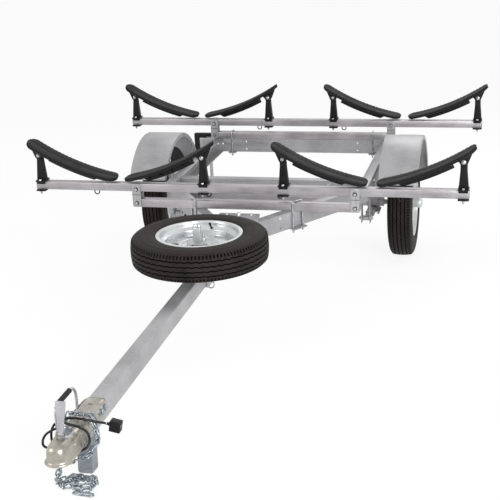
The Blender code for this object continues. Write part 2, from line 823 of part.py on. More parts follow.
def tyre_profile():
    """Hollow tyre section, open towards the rim."""
    w, r = TYRE_WIDTH / 2, TYRE_RADIUS
    bead = (BEAD_RADIUS + 0.0004) / cos(pi / TYRE_SIDES)
    half = [
        (r, 0.036),
        (r - 0.012, w - 0.010),
        (r - 0.045, w),
        (RIM_FLANGE_RADIUS + 0.006, RIM_HALF_WIDTH - 0.0045),
        (bead, RIM_HALF_WIDTH - RIM_WALL - 0.0006),
        (bead, 0.042),
        (r - 0.040, w - 0.006),
        (r - 0.010, 0.034),
    ]
    upper_outside, upper_inside = half[:5], half[5:]
    lower_outside = [(radius, -x) for radius, x in upper_outside]
    lower_inside = [(radius, -x) for radius, x in upper_inside]
    return upper_outside[::-1] + lower_outside + lower_inside + upper_inside[::-1]


def hub(name):
    """Flanged hub with a blind bearing bore, dust cap, studs and nuts, about its own Z axis."""
    bore = SPINDLE_RADIUS + BEARING_CLEARANCE
    barrel = HUB_BORE_RADIUS - 0.0010
    profile = [
        (0, CAP_LENGTH),
        (CAP_RADIUS * 0.6, CAP_LENGTH - 0.001),
        (CAP_RADIUS, CAP_LENGTH - 0.010),
        (CAP_RADIUS, 0.030),
        (barrel, 0.028),
        (barrel, -GAP),
        (0.068, -GAP),
        (0.068, -0.009),
        (0.034, -0.010),
        (0.030, -0.045),
        (bore, -0.045),
        (bore, 0.060),
        (0, 0.060),
    ]
    obj = turned_object(name, profile, 14, None)
    for index in range(LUG_COUNT):
        angle = 2 * pi * index / LUG_COUNT
        x, y = LUG_CIRCLE_RADIUS * cos(angle), LUG_CIRCLE_RADIUS * sin(angle)
        join(
            obj,
            cylinder_mesh(f"{name}_stud_{index}", LUG_RADIUS, 0.034, "Z", 6, (x, y, 0.013)),
            cylinder_mesh(f"{name}_nut_{index}", 0.0105, 0.014, "Z", 6, (x, y, 0.004 + GAP + 0.007)),
        )
    return obj


def wheels():
    """Two running wheels and the spare, sharing three meshes."""
    rim_shape = rim("rim_shape")
    hub_shape = hub("hub_shape")
    tyre_shape = turned_object("tyre_shape", tyre_profile(), TYRE_SIDES, None)
    rim_mesh, hub_mesh, tyre_mesh = (solidified(o) for o in (rim_shape, hub_shape, tyre_shape))
    for mesh, material in ((rim_mesh, ZINC), (hub_mesh, ZINC), (tyre_mesh, RUBBER)):
        mesh.materials.clear()
        mesh.materials.append(material)
    for side, word in ((-1, "left"), (1, "right")):
        axle_end = new_empty(f"wheel_axis_{word}", (side * WHEEL_X, 0, 0))
        axle_end.parent = DATUM
        quarter = side * pi / 2
        for name, mesh in (("rim", rim_mesh), ("hub", hub_mesh), ("tyre", tyre_mesh)):
            obj = add(f"{name}_{word}", mesh, ZINC)
            obj.parent = axle_end
            spin = wheel_turn() if name == "tyre" else 0
            matrix = Matrix.Rotation(spin, 4, "X") @ Matrix.Rotation(quarter, 4, "Y")
            obj.matrix_local = matrix
    add("spare_rim", rim_mesh, ZINC, (0, SPARE_Y, SPARE_Z), (0, 0, radians(18)))
    add("spare_tyre", tyre_mesh, RUBBER, (0, SPARE_Y, SPARE_Z))


def spare_carrier():
    """Plate across the tongue, clamped under it, with a post and two bolts up through the spare rim."""
    tongue_top = TONGUE_TOP + GAP
    half = TONGUE_WIDTH / 2 + GAP + 0.004
    mount = SPARE_Z - GAP
    obj = add(
        "spare_carrier",
        box_mesh(
            "spare_carrier",
            (-0.060, SPARE_Y - 0.070, mount - CARRIER_PLATE),
            (0.060, SPARE_Y + 0.070, mount),
        ),
        GALVANISED,
    )
    riser = box_mesh(
        "spare_riser",
        (-0.028, SPARE_Y - 0.045, tongue_top),
        (0.028, SPARE_Y + 0.045, mount - CARRIER_PLATE + OVERLAP),
    )
    pieces = [riser]
    for side in (-1, 1):
        x = side * half
        pieces.append(
            box_mesh(
                f"spare_strap_{side}",
                (x - 0.0035, SPARE_Y - 0.030, TONGUE_BOTTOM - GAP - 0.004),
                (x + 0.0035, SPARE_Y + 0.030, tongue_top + 0.012),
            )
        )
    pieces.append(
        box_mesh(
            "spare_under",
            (-half - 0.0035, SPARE_Y - 0.030, TONGUE_BOTTOM - GAP - 0.005),
            (half + 0.0035, SPARE_Y + 0.030, TONGUE_BOTTOM - GAP),
        )
    )
    for index in (1, 3, 4):
        angle = 2 * pi * index / LUG_COUNT + radians(18)
        x, y = LUG_CIRCLE_RADIUS * cos(angle), SPARE_Y + LUG_CIRCLE_RADIUS * sin(angle)
        pieces.append(cylinder_mesh(f"spare_stud_{index}", LUG_RADIUS, 0.046, "Z", 6, (x, y, mount + 0.019)))
        pieces.append(
            cylinder_mesh(f"spare_nut_{index}", 0.0105, 0.014, "Z", 6, (x, y, SPARE_Z + 0.004 + GAP + 0.007))
        )
    join(obj, *pieces)


def fender(name, side):
    """Rolled sheet over the tyre with turned-down edges, on two stays from the side rail."""
    inner, outer = FENDER_INNER_X, FENDER_OUTER_X
    top, edge = FENDER_RADIUS, FENDER_RADIUS - FENDER_LIP
    start = -radians(90 + FENDER_START)
    build = bmesh.new()
    section = ((edge, inner), (top, inner), (top, outer), (edge, outer))
    verts = [build.verts.new((radius, 0, side * x)) for radius, x in section]
    for first, second in zip(verts, verts[1:]):
        build.edges.new((first, second))
    bmesh.ops.rotate(build, cent=(0, 0, 0), matrix=Matrix.Rotation(start, 3, "Z"), verts=build.verts)
    sheet = bpy.data.meshes.new(name + "_sheet")
    build.to_mesh(sheet)
    build.free()
    rolled = add(name + "_sheet", sheet, None, rotation=(0, pi / 2, 0))
    screw = rolled.modifiers.new("rolled", "SCREW")
    screw.angle = -radians(FENDER_END - FENDER_START)
    screw.steps = screw.render_steps = 14
    screw.use_merge_vertices = False
    shell = rolled.modifiers.new("sheet", "SOLIDIFY")
    shell.thickness = FENDER_SHEET
    shell.offset = -1 if side < 0 else 1
    obj = add(name, settled(rolled, name), GALVANISED)
    arm_z = (RAIL_TOP + RAIL_BOTTOM) / 2
    half, arm_half = STAY_WIDTH / 2, STAY_WIDTH / 2 + 0.002
    crown = (FENDER_RADIUS**2 - STAY_REACH**2) ** 0.5 - 0.012
    arm_x = sorted((side * (SIDE_RAIL_X + GAP), side * (inner + 0.0045)))
    stay_x = sorted((side * (inner - 0.0015), side * (inner + 0.0035)))
    for word, y in (("front", -STAY_REACH), ("rear", STAY_REACH)):
        arm_low, arm_high = (arm_x[0], y - arm_half, arm_z - 0.003), (arm_x[1], y + arm_half, arm_z + 0.003)
        stay_low, stay_high = (stay_x[0], y - half, arm_z - 0.001), (stay_x[1], y + half, crown)
        join(
            obj,
            box_mesh(f"{name}_{word}_arm", arm_low, arm_high),
            box_mesh(f"{name}_{word}_stay", stay_low, stay_high),
        )
    return obj


def tail_light(name, side):
    """Lamp box with a stepped lens on a bracket behind the rear channel."""
    y = REAR_CHANNEL_Y + RAIL_DEPTH
    x = side * LIGHT_X
    z = (RAIL_TOP + RAIL_BOTTOM) / 2
    half = LIGHT_WIDTH / 2
    front = y + 0.004
    obj = add(
        name,
        box_mesh(
            name,
            (x - half, front, z - LIGHT_HEIGHT / 2),
            (x + half, front + LIGHT_DEPTH, z + LIGHT_HEIGHT / 2),
            1,
            0.010,
        ),
        RED_LENS,
    )
    plate_x = sorted((side * (REAR_CHANNEL_HALF - 0.050), side * (LIGHT_X + 0.020)))
    bracket = box_mesh(
        name + "_bracket", (plate_x[0], y + GAP, z - 0.030), (plate_x[1], front + OVERLAP, z + 0.030)
    )
    return join(obj, bracket)


def coupler():
    """Pressed body: dome over the ball, flared lip, and a neck that sleeves the tongue."""
    half = NECK_HALF_WIDTH
    top = TONGUE_TOP + GAP + WALL
    obj = add(
        "coupler_body",
        box_mesh("coupler_body", (-half, BALL_Y, LIP_BOTTOM), (half, NECK_REAR, top), 1, 0.006),
        COUPLER_ZINC,
    )
    dome = turned_object(
        "coupler_dome",
        [
            (0, DOME_TOP),
            (DOME_RADIUS * 0.55, DOME_TOP - 0.004),
            (DOME_RADIUS * 0.86, DOME_TOP - 0.014),
            (DOME_RADIUS, DOME_TOP - 0.028),
            (DOME_RADIUS, LIP_BOTTOM),
            (0, LIP_BOTTOM),
        ],
        20,
        None,
        location=(0, BALL_Y, 0),
    )
    lip = []
    for step in range(11):
        angle = pi + pi * step / 10
        lip.append((LIP_RADIUS * cos(angle), BALL_Y + LIP_RADIUS * sin(angle)))
    taper = LIP_REAR - 0.020
    lip += [(LIP_RADIUS, taper), (half, LIP_REAR), (-half, LIP_REAR), (-LIP_RADIUS, taper)]
    lip_middle = (LIP_TOP + LIP_BOTTOM) / 2
    join(
        obj,
        settled(dome, "dome_shape"),
        outline_mesh("coupler_lip", lip, LIP_TOP - LIP_BOTTOM, centre=(0, 0, lip_middle)),
    )
    ear_x = LEVER_BASE_WIDTH / 2 + 0.0014
    for side in (-1, 1):
        inner, outer = sorted((side * ear_x, side * (ear_x + 0.004)))
        ear = box_mesh(
            f"lever_ear_{side}",
            (inner, LEVER_PIVOT_Y - 0.008, top - 0.020),
            (outer, LEVER_PIVOT_Y + 0.008, LEVER_PIVOT_Z + 0.007),
        )
        join(obj, ear)
    socket = bmesh.new()
    bmesh.ops.create_uvsphere(socket, u_segments=16, v_segments=8, radius=SOCKET_RADIUS)
    bmesh.ops.translate(socket, vec=(0, BALL_Y, LIP_TOP + 0.021), verts=socket.verts)
    hollow = half - WALL - 0.001
    mouth_middle = (0, BALL_Y, LIP_BOTTOM + 0.0125)
    cut(
        obj,
        finished_mesh(socket, "ball_socket"),
        cylinder_mesh("socket_mouth", SOCKET_RADIUS - 0.0002, 0.045, "Z", 16, mouth_middle),
        box_mesh(
            "neck_hollow",
            (-hollow + 0.004, BALL_Y + 0.012, LIP_BOTTOM - 0.03),
            (hollow - 0.004, TONGUE_FRONT + 0.001, top - WALL),
        ),
        box_mesh(
            "tongue_sleeve",
            (-TONGUE_WIDTH / 2 - GAP, TONGUE_FRONT - GAP, LIP_BOTTOM - 0.03),
            (TONGUE_WIDTH / 2 + GAP, NECK_REAR + 0.02, TONGUE_TOP + GAP),
        ),
        cylinder_mesh("stem_hole", 0.0052, 0.04, "Z", 12, (0, CLAMP_Y, top)),
    )
    for index, y in enumerate((NECK_REAR - 0.018, NECK_REAR - 0.048)):
        for side in (-1, 1):
            place = (side * (half + 0.003), y, (TONGUE_TOP + LIP_BOTTOM) / 2)
            join(obj, cylinder_mesh(f"coupler_bolt_{index}_{side}", 0.0085, 0.008, "X", 6, place))


def ball_clamp():
    """Jaw behind the ball with its stem up through the coupler's top."""
    top = TONGUE_TOP + WALL
    low = LIP_TOP - 0.002
    obj = add(
        "ball_clamp",
        box_mesh("ball_clamp", (-0.010, CLAMP_Y - 0.008, low), (0.010, CLAMP_Y + 0.008, low + 0.024)),
        ZINC,
    )
    stem = top - low + 0.004
    join(obj, cylinder_mesh("clamp_stem", 0.0045, stem, "Z", 12, (0, CLAMP_Y, low + 0.001 + stem / 2)))


def latch_lever():
    """Upright lever that swings back about its cross pin to close the coupler."""
    half_base, half_top = LEVER_BASE_WIDTH / 2, LEVER_TOP_WIDTH / 2
    outline = [(-half_base, 0), (half_base, 0), (half_top, LEVER_HEIGHT), (-half_top, LEVER_HEIGHT)]
    pivot = (0, LEVER_PIVOT_Y, LEVER_PIVOT_Z)
    obj = add("latch_lever", outline_mesh("latch_lever", outline, LEVER_THICK, "XZ"), GREY_LEVER, pivot)
    barrel = cylinder_mesh("lever_barrel", 0.0055, LEVER_BASE_WIDTH, "X", 8)
    return join(obj, barrel)


def lift_handle():
    """Bent rod on the coupler's left side, with a rubber grip on its level run."""
    x = -NECK_HALF_WIDTH - GAP - HANDLE_RADIUS
    middle, half = (HANDLE_FRONT + HANDLE_REAR) / 2, (HANDLE_REAR - HANDLE_FRONT) / 2
    arch = arched(half, HANDLE_BEND, LIP_TOP + 0.020, HANDLE_Z, 4)
    route = [(x, middle + along, z) for along, z in arch]
    add("lift_handle", rod_mesh("lift_handle", route, HANDLE_RADIUS, 2), ZINC)
    grip_length = HANDLE_REAR - HANDLE_FRONT - 2 * HANDLE_BEND - 0.006
    grip = add(
        "handle_grip",
        cylinder_mesh(
            "handle_grip",
            HANDLE_RADIUS + 0.0035,
            grip_length,
            "Y",
            12,
            (x, middle, HANDLE_Z),
        ),
        BLACK_PLASTIC,
    )
    bore = HANDLE_RADIUS + GAP
    cut(
        grip,
        cylinder_mesh("grip_bore", bore, grip_length + 0.02, "Y", 12, (x, middle, HANDLE_Z)),
    )


def foot():
    """Upright tube under the tongue, level on the ground, its top cut to the tongue's slope."""
    half, corner = FOOT_WIDTH / 2, FOOT_CORNER
    height = 0.140
    outline = [(half, height), (-half, height)]
    for centre_x, start in ((corner - half, pi), (half - corner, 3 * pi / 2)):
        for step in range(4):
            angle = start + step * pi / 6
            outline.append((centre_x + corner * cos(angle), corner + corner * sin(angle)))
    base = from_ground(0, FOOT_Y, 0)
    obj = add(
        "tongue_foot",
        outline_mesh("tongue_foot", outline, FOOT_DEPTH, "XZ", (0, FOOT_DEPTH / 2, 0)),
        GALVANISED,
        base,
        (-LEAN, 0, 0),
    )
    top = box_mesh("foot_top", (-0.1, base[1] - 0.2, TONGUE_BOTTOM - GAP), (0.1, base[1] + 0.2, 0.4))
    shape = add("foot_top", top)
    modifier = obj.modifiers.new("foot_top", "BOOLEAN")
    modifier.object = shape


def chains():
    """Plain tubes along the two safety chains: one wrapped over the neck, one down to the ground."""
    side = NECK_HALF_WIDTH + CHAIN_RADIUS + 0.001
    over = TONGUE_TOP + WALL + CHAIN_RADIUS + 0.003
    wrapped = [
        (-side, -2.752, 0.100),
        (-side, -2.768, 0.130),
        (-side, -2.780, 0.160),
        (-0.0352, -2.785, 0.1780),
        (-0.0190, -2.788, over),
        (0.0040, -2.788, over + 0.001),
        (0.0200, -2.786, over),
        (0.0355, -2.782, 0.1780),
        (side + 0.003, -2.780, 0.158),
        (side + 0.012, -2.792, 0.125),
        (side + 0.013, -2.815, 0.102),
        (side + 0.006, -2.850, 0.094),
        (0.032, -2.892, 0.098),
        (0.018, -2.930, 0.1125),
    ]
    line = smooth_points(wrapped, CHAIN_SPACING)
    add("safety_chain_right", rod_mesh("safety_chain_right", line, CHAIN_RADIUS, 1), ZINC)
    z = CHAIN_RADIUS + 0.0005
    heap = [
        (-0.006, -2.917, 0.1125),
        (-0.010, -2.914, 0.090),
        (-0.024, -2.905, 0.062),
        (-0.036, -2.890, 0.034),
        (-0.044, -2.868, 0.014),
        (-0.040, -2.838, z),
        (-0.014, -2.818, z),
        (0.016, -2.812, z),
        (0.046, -2.820, z),
        (0.060, -2.846, z),
        (0.044, -2.872, z),
        (0.014, -2.876, z),
        (-0.012, -2.864, 0.019),
        (-0.004, -2.838, 0.026),
        (0.022, -2.842, 0.026),
        (0.050, -2.862, 0.019),
        (0.066, -2.888, z + 0.001),
        (0.040, -2.902, z),
    ]
    line = smooth_points([from_ground(*point) for point in heap], 1.25 * CHAIN_SPACING)
    add("safety_chain_left", rod_mesh("safety_chain_left", line, CHAIN_RADIUS, 1), ZINC)


def cable():
    """Wiring lead: out of the tongue, twice round the neck, then off to the right with its square plug."""
    route = [
        (-TONGUE_WIDTH / 2 - GROMMET_LENGTH - GAP, GROMMET_Y, GROMMET_Z),
        (-0.0440, -2.600, 0.1350),
        (-0.0535, -2.610, 0.1355),
        (-0.0560, -2.635, 0.1365),
        (-0.0560, -2.680, 0.1385),
        (-0.0560, -2.730, 0.1410),
        (-0.0560, -2.780, 0.1455),
        (-0.0560, -2.820, 0.1520),
        (-0.0565, -2.862, 0.1640),
        (-0.0575, -2.895, 0.1700),
        (-0.0580, -2.916, 0.1640),
        (-0.0575, -2.918, 0.1480),
        (-0.0530, -2.902, 0.1310),
        (-0.0440, -2.890, 0.1170),
        (-0.0260, -2.880, 0.1095),
        (0.0000, -2.872, 0.1075),
        (0.0260, -2.866, 0.1095),
        (0.0430, -2.858, 0.1170),
        (0.0490, -2.848, 0.1300),
        (0.0480, -2.846, 0.1500),
        (0.0455, -2.858, 0.1700),
        (0.0370, -2.868, 0.1825),
        (0.0210, -2.866, 0.1870),
        (-0.0040, -2.860, 0.1880),
        (-0.0200, -2.855, 0.1880),
        (-0.0330, -2.852, 0.1875),
        (-0.0425, -2.858, 0.1860),
        (-0.0470, -2.870, 0.1800),
        (-0.0480, -2.880, 0.1680),
        (-0.0475, -2.884, 0.1500),
        (-0.0465, -2.880, 0.1330),
        (-0.0460, -2.870, 0.1220),
        (-0.0460, -2.854, 0.1180),
        (-0.0455, -2.838, 0.1240),
        (-0.0450, -2.830, 0.1400),
        (-0.0440, -2.828, 0.1600),
        (-0.0400, -2.828, 0.1760),
        (-0.0290, -2.826, 0.1845),
        (-0.0120, -2.823, 0.1865),
        (0.0060, -2.820, 0.1860),
        (0.0240, -2.818, 0.1830),
        (0.0420, -2.811, 0.1770),
        (0.0600, -2.805, 0.1710),
        (0.0780, -2.8015, 0.1675),
        (0.0960, -2.8000, 0.1640),
    ]
    print_least_gap("wiring_cable", route, CABLE_RADIUS)
    line = smooth_points(route, CABLE_SPACING)
    add("wiring_cable", rod_mesh("wiring_cable", line, CABLE_RADIUS, 1), BLACK_PLASTIC)
    end, before = Vector(route[-1]), Vector(route[-2])
    along = (end - before).normalized()
    half = PLUG_SIZE / 2
    build = bmesh.new()
    bmesh.ops.create_cube(build, size=PLUG_SIZE)
    bmesh.ops.scale(build, vec=(1, PLUG_DEPTH / PLUG_SIZE, 1), verts=build.verts)
    bmesh.ops.bevel(build, geom=build.edges[:], offset=0.002, segments=2, profile=0.5, affect="EDGES")
    tilt = atan2(-along.z, along.x)
    centre = end + Vector((cos(tilt), 0, -sin(tilt))) * (half + GAP)
    add("cable_plug", finished_mesh(build, "cable_plug"), BLACK_PLASTIC, centre, (0, tilt, 0))


def wing_arc(depth, start, end, count):
    """Points on the wing's curve, depth below its middle line, from share start to share end."""
    low, high = radians(WING_LOW_ANGLE), radians(WING_HIGH_ANGLE)
    radius = WING_LENGTH / (high - low)
    points = []
    for step in range(count + 1):
        angle = low + (high - low) * (start + (end - start) * step / count)
        x = radius * (sin(angle) - sin(low)) + depth * sin(angle)
        z = radius * (cos(low) - cos(angle)) - depth * cos(angle)
        points.append((x, z))
    return points


def wing_shape():
    """One padded wing about its pivot: its low end lies towards -X."""
    x0 = WING_LOW_OFFSET - PIVOT_OFFSET
    z0 = WING_LOW_Z - PIVOT_Z
    half = WING_THICK / 2
    top = wing_arc(-half, 0, 1, 4)
    under = wing_arc(half, 0, 1, 4)
    placed = [(x0 + x, z0 + z) for x, z in top + under[::-1]]
    wing = add("wing_shape", outline_mesh("wing_shape", placed, WING_WIDTH, "XZ"))
    length = wing_arc(0, 0, 1, 1)[-1][0]
    round_end = WING_WIDTH / 2
    half_width = round_end + 0.001
    plan = []
    for step in range(5):
        angle = pi / 2 + step * pi / 4
        plan.append((x0 + 0.0015 + 0.6 * round_end * (1 + cos(angle)), half_width * sin(angle)))
    for step in range(5):
        angle = -pi / 2 + step * pi / 4
        plan.append((x0 + length - 0.0015 - 0.6 * round_end * (1 - cos(angle)), half_width * sin(angle)))
    boolean(wing, "INTERSECT", outline_mesh("wing_plan", plan, 1.0))
    web_start, web_end = 0.17, 0.73
    web_top = wing_arc(half - OVERLAP, web_start, web_end, 3)
    web_under = wing_arc(half + WEB_DEPTH, web_start + 0.06, web_end, 3)
    web = [(x0 + x, z0 + z) for x, z in web_top + web_under[::-1]]
    join(wing, outline_mesh("wing_web", web, WEB_THICK, "XZ"))
    ear_y = KNUCKLE_WIDTH / 2 + 0.0006 + EAR_THICK / 2
    pad_x, pad_z = wing_arc(0, 0, 0.87, 1)[-1]
    pad = (x0 + pad_x, z0 + pad_z)
    ear = [(pad[0] - 0.030, pad[1] - 0.006), (pad[0] + 0.022, pad[1] + 0.010)]
    for step in range(4):
        angle = -pi / 12 - step * pi * 5 / 18
        ear.append((KNUCKLE_RADIUS * cos(angle), KNUCKLE_RADIUS * sin(angle)))
    for side in (-1, 1):
        join(wing, outline_mesh(f"wing_ear_{side}", ear[::-1], EAR_THICK, "XZ", (0, side * ear_y, 0)))
    bolt_length = 2 * ear_y + EAR_THICK + 0.012
    join(wing, cylinder_mesh("wing_bolt", PIVOT_BOLT_RADIUS, bolt_length, "Y", 6))
    return wing


def post_shape():
    """One post about its pivot: knuckle, upright, and plates bolted round the load bar."""
    bar_top = LOAD_BAR_Z + BAR / 2 + GAP - PIVOT_Z
    bar_low = LOAD_BAR_Z - BAR / 2 - GAP - PIVOT_Z
    half = POST_BASE / 2
    reach = BAR / 2 + 0.014
    post = add("post_shape", cylinder_mesh("post_shape", KNUCKLE_RADIUS - 0.003, KNUCKLE_WIDTH, "Y", 8, turn=pi / 8))
    upright = box_mesh("post_upright", (-0.012, -0.013, bar_top + 0.002), (0.012, 0.013, -0.006))
    plates = [
        box_mesh("post_base", (-half, -reach, bar_top), (half, reach, bar_top + POST_PLATE)),
        box_mesh("post_under", (-half, -reach, bar_low - POST_PLATE), (half, reach, bar_low)),
    ]
    rods = []
    for word, y in (("front", -reach + 0.007), ("rear", reach - 0.007)):
        length = bar_top - bar_low + 2 * POST_PLATE + 0.010
        place = (0, y, (bar_top + bar_low) / 2)
        rods.append(cylinder_mesh(f"post_rod_{word}", 0.004, length, "Z", 6, place))
    join(post, upright, *plates, *rods)
    cut(post, cylinder_mesh("post_bore", PIVOT_BOLT_RADIUS + 0.0010, 0.06, "Y", 8))
    return post


def carriers():
    """Two wings on two posts for each kayak, over each load bar."""
    wing_mesh, post_mesh = solidified(wing_shape()), solidified(post_shape())
    wing_mesh.materials.clear()
    wing_mesh.materials.append(PAD)
    post_mesh.materials.clear()
    post_mesh.materials.append(BLACK_PLASTIC)
    for place, y in (("front", FRONT_BAR_Y), ("rear", REAR_BAR_Y)):
        for side, word in ((-1, "left"), (1, "right")):
            for lateral, inner in (("inner", -1), ("outer", 1)):
                pivot_x = side * (CRADLE_X + inner * PIVOT_OFFSET)
                faces_left = pivot_x > side * CRADLE_X
                turn = 0 if faces_left else pi
                pivot = new_empty(f"carrier_pivot_{place}_{word}_{lateral}", (pivot_x, y, PIVOT_Z))
                pivot.parent = DATUM
                for name, mesh in (("wing", wing_mesh), ("post", post_mesh)):
                    obj = add(f"carrier_{name}_{place}_{word}_{lateral}", mesh, PAD)
                    obj.parent = pivot
                    obj.rotation_euler = (0, 0, turn)


def shade_round():
    for obj in PARTS.objects:
        if obj.type == "MESH":
            obj.data.shade_smooth()
            obj.data.set_sharp_from_angle(angle=radians(35))


def centre_over_origin():
    """Moves the datum so that the trailer, without its loose lead, is centred fore and aft."""
    bpy.context.view_layer.update()
    graph = bpy.context.evaluated_depsgraph_get()
    ys = []
    for obj in PARTS.objects:
        if obj.type != "MESH" or obj.name in ("wiring_cable", "cable_plug"):
            continue
        mesh = bpy.data.meshes.new_from_object(obj.evaluated_get(graph))
        ys += [(obj.matrix_world @ vertex.co).y for vertex in mesh.vertices]
        bpy.data.meshes.remove(mesh)
    DATUM.location.y = -(min(ys) + max(ys)) / 2


tongue()
frame_rail("frame_rail_left", -1)
frame_rail("frame_rail_right", 1)
cross_channels()
gussets()
bars()
u_bolts()
axle()
leaf_spring("leaf_spring_left", -1)
leaf_spring("leaf_spring_right", 1)
wheels()
spare_carrier()
fender("fender_left", -1)
fender("fender_right", 1)
tail_light("tail_light_left", -1)
tail_light("tail_light_right", 1)
coupler()
ball_clamp()
latch_lever()
lift_handle()
foot()
chains()
cable()
carriers()
shade_round()
centre_over_origin()
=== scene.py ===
import json
from math import atan2, cos, pi, radians, sin

import bmesh
import bpy
from mathutils import Matrix, Vector


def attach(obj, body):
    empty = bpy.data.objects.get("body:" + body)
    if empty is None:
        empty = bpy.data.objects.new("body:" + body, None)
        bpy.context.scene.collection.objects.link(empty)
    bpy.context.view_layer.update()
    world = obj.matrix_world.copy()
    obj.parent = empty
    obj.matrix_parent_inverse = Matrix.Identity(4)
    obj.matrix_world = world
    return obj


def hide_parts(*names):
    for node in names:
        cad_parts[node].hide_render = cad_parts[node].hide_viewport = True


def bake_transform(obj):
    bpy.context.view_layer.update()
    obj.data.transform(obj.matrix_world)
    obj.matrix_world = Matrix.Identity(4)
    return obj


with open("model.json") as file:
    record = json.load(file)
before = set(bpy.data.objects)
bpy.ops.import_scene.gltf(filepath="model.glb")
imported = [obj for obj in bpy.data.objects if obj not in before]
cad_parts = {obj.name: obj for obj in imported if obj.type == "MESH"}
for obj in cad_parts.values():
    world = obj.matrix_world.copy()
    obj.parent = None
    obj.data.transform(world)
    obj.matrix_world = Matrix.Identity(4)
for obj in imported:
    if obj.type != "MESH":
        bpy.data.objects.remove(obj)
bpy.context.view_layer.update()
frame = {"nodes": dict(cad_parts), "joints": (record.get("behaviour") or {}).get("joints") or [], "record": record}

# The trailer's own frame: middle of the axle, +X right, +Y rear, +Z up from the frame
joints = {joint["name"]: joint for joint in frame["joints"]}
hubPoint = Vector(joints["right_wheel_spin"]["pos_m"])
upAxis = Vector(joints["axle_travel"]["axis"])
trailer = Matrix.Translation((0, hubPoint.y, hubPoint.z)) @ Matrix.Rotation(atan2(-upAxis.y, upAxis.z), 4, "X")
toTrailer = trailer.inverted()
bodyOf = {node: body for body, nodes in frame["record"]["behaviour"]["bodies"].items() for node in nodes}

turnX, turnY = Matrix.Rotation(pi / 2, 4, "Y"), Matrix.Rotation(-pi / 2, 4, "X")  # a Z shape laid along X or Y
turnBack, turnOver = turnY.inverted(), Matrix.Rotation(pi, 4, "X")
standAcross = Matrix.Rotation(pi / 2, 4, "X")  # a sheet's XY laid into XZ
layUpright = Matrix(((0, 0, 1, 0), (1, 0, 0, 0), (0, 1, 0, 0), (0, 0, 0, 1)))  # a sheet's XY laid into YZ


def nodeBox(node):  # a CAD node's corners in the trailer's frame
    points = [toTrailer @ vertex.co for vertex in frame["nodes"][node].data.vertices]
    return Vector([min(p[i] for p in points) for i in range(3)]), Vector([max(p[i] for p in points) for i in range(3)])


def nodeMiddle(node):
    low, high = nodeBox(node)
    return (low + high) / 2


def mm(*rows):  # rows of millimetres as rows of metres
    return [tuple(value / 1000 for value in row) for row in rows]


def addObject(name, data):
    thing = bpy.data.objects.new(name, data)
    bpy.context.scene.collection.objects.link(thing)
    return thing


# Camera, at the place and angle that the photograph was taken from
view = {"place": (1.19047, -4.35854, 1.38098), "yaw": 0.2472, "pitch": 0.3288, "roll": -0.0458,
        "lens": 79.71, "shift": (-0.00408, -0.00082), "far": 400}
camera = bpy.data.cameras.new("camera")
camera.lens, camera.sensor_width, camera.clip_end = view["lens"], 36, view["far"]
camera.shift_x, camera.shift_y = view["shift"]
cameraObject = addObject("camera", camera)
aim = Matrix.Rotation(view["yaw"], 4, "Z") @ Matrix.Rotation(pi / 2 - view["pitch"], 4, "X")
cameraObject.matrix_world = Matrix.Translation(view["place"]) @ trailer.to_3x3().to_4x4() @ aim @ Matrix.Rotation(view["roll"], 4, "Z")
bpy.context.scene.camera = cameraObject
bpy.context.scene.view_settings.view_transform = "Standard"


def linear(code):  # an sRGB hex colour as linear RGBA
    parts = [int(code[i:i + 2], 16) / 255 for i in (1, 3, 5)]
    return tuple(c / 12.92 if c <= 0.04045 else ((c + 0.055) / 1.055) ** 2.4 for c in parts) + (1,)


def addNode(tree, kind, inputs=(), **settings):
    node = tree.nodes.new("ShaderNode" + kind)
    for key, value in settings.items():
        setattr(node, key, value)
    for key, value in dict(inputs).items():
        if isinstance(value, bpy.types.NodeSocket):
            tree.links.new(value, node.inputs[key])
        else:
            node.inputs[key].default_value = value
    return node


def newMaterial(name):
    material = bpy.data.materials.new(name)
    material.use_nodes = True
    tree = material.node_tree
    return material, tree, tree.nodes["Principled BSDF"], addNode(tree, "TexCoord").outputs["Object"]


def surfaceBy(tree, shader, pattern, m, colourRange, glossRange):  # one pattern sets both colour and roughness
    share = addNode(tree, "MapRange", {"Value": pattern, "From Min": colourRange[0], "From Max": colourRange[1]})
    colour = addNode(tree, "Mix", {0: share.outputs[0], 6: linear(m["dark"]), 7: linear(m["pale"])}, data_type="RGBA")
    tree.links.new(colour.outputs[2], shader.inputs["Base Color"])
    gloss = addNode(tree, "MapRange", {"Value": pattern, "From Min": glossRange[0], "From Max": glossRange[1],
                                       "To Min": m["rough"][0], "To Max": m["rough"][1]})
    tree.links.new(gloss.outputs[0], shader.inputs["Roughness"])


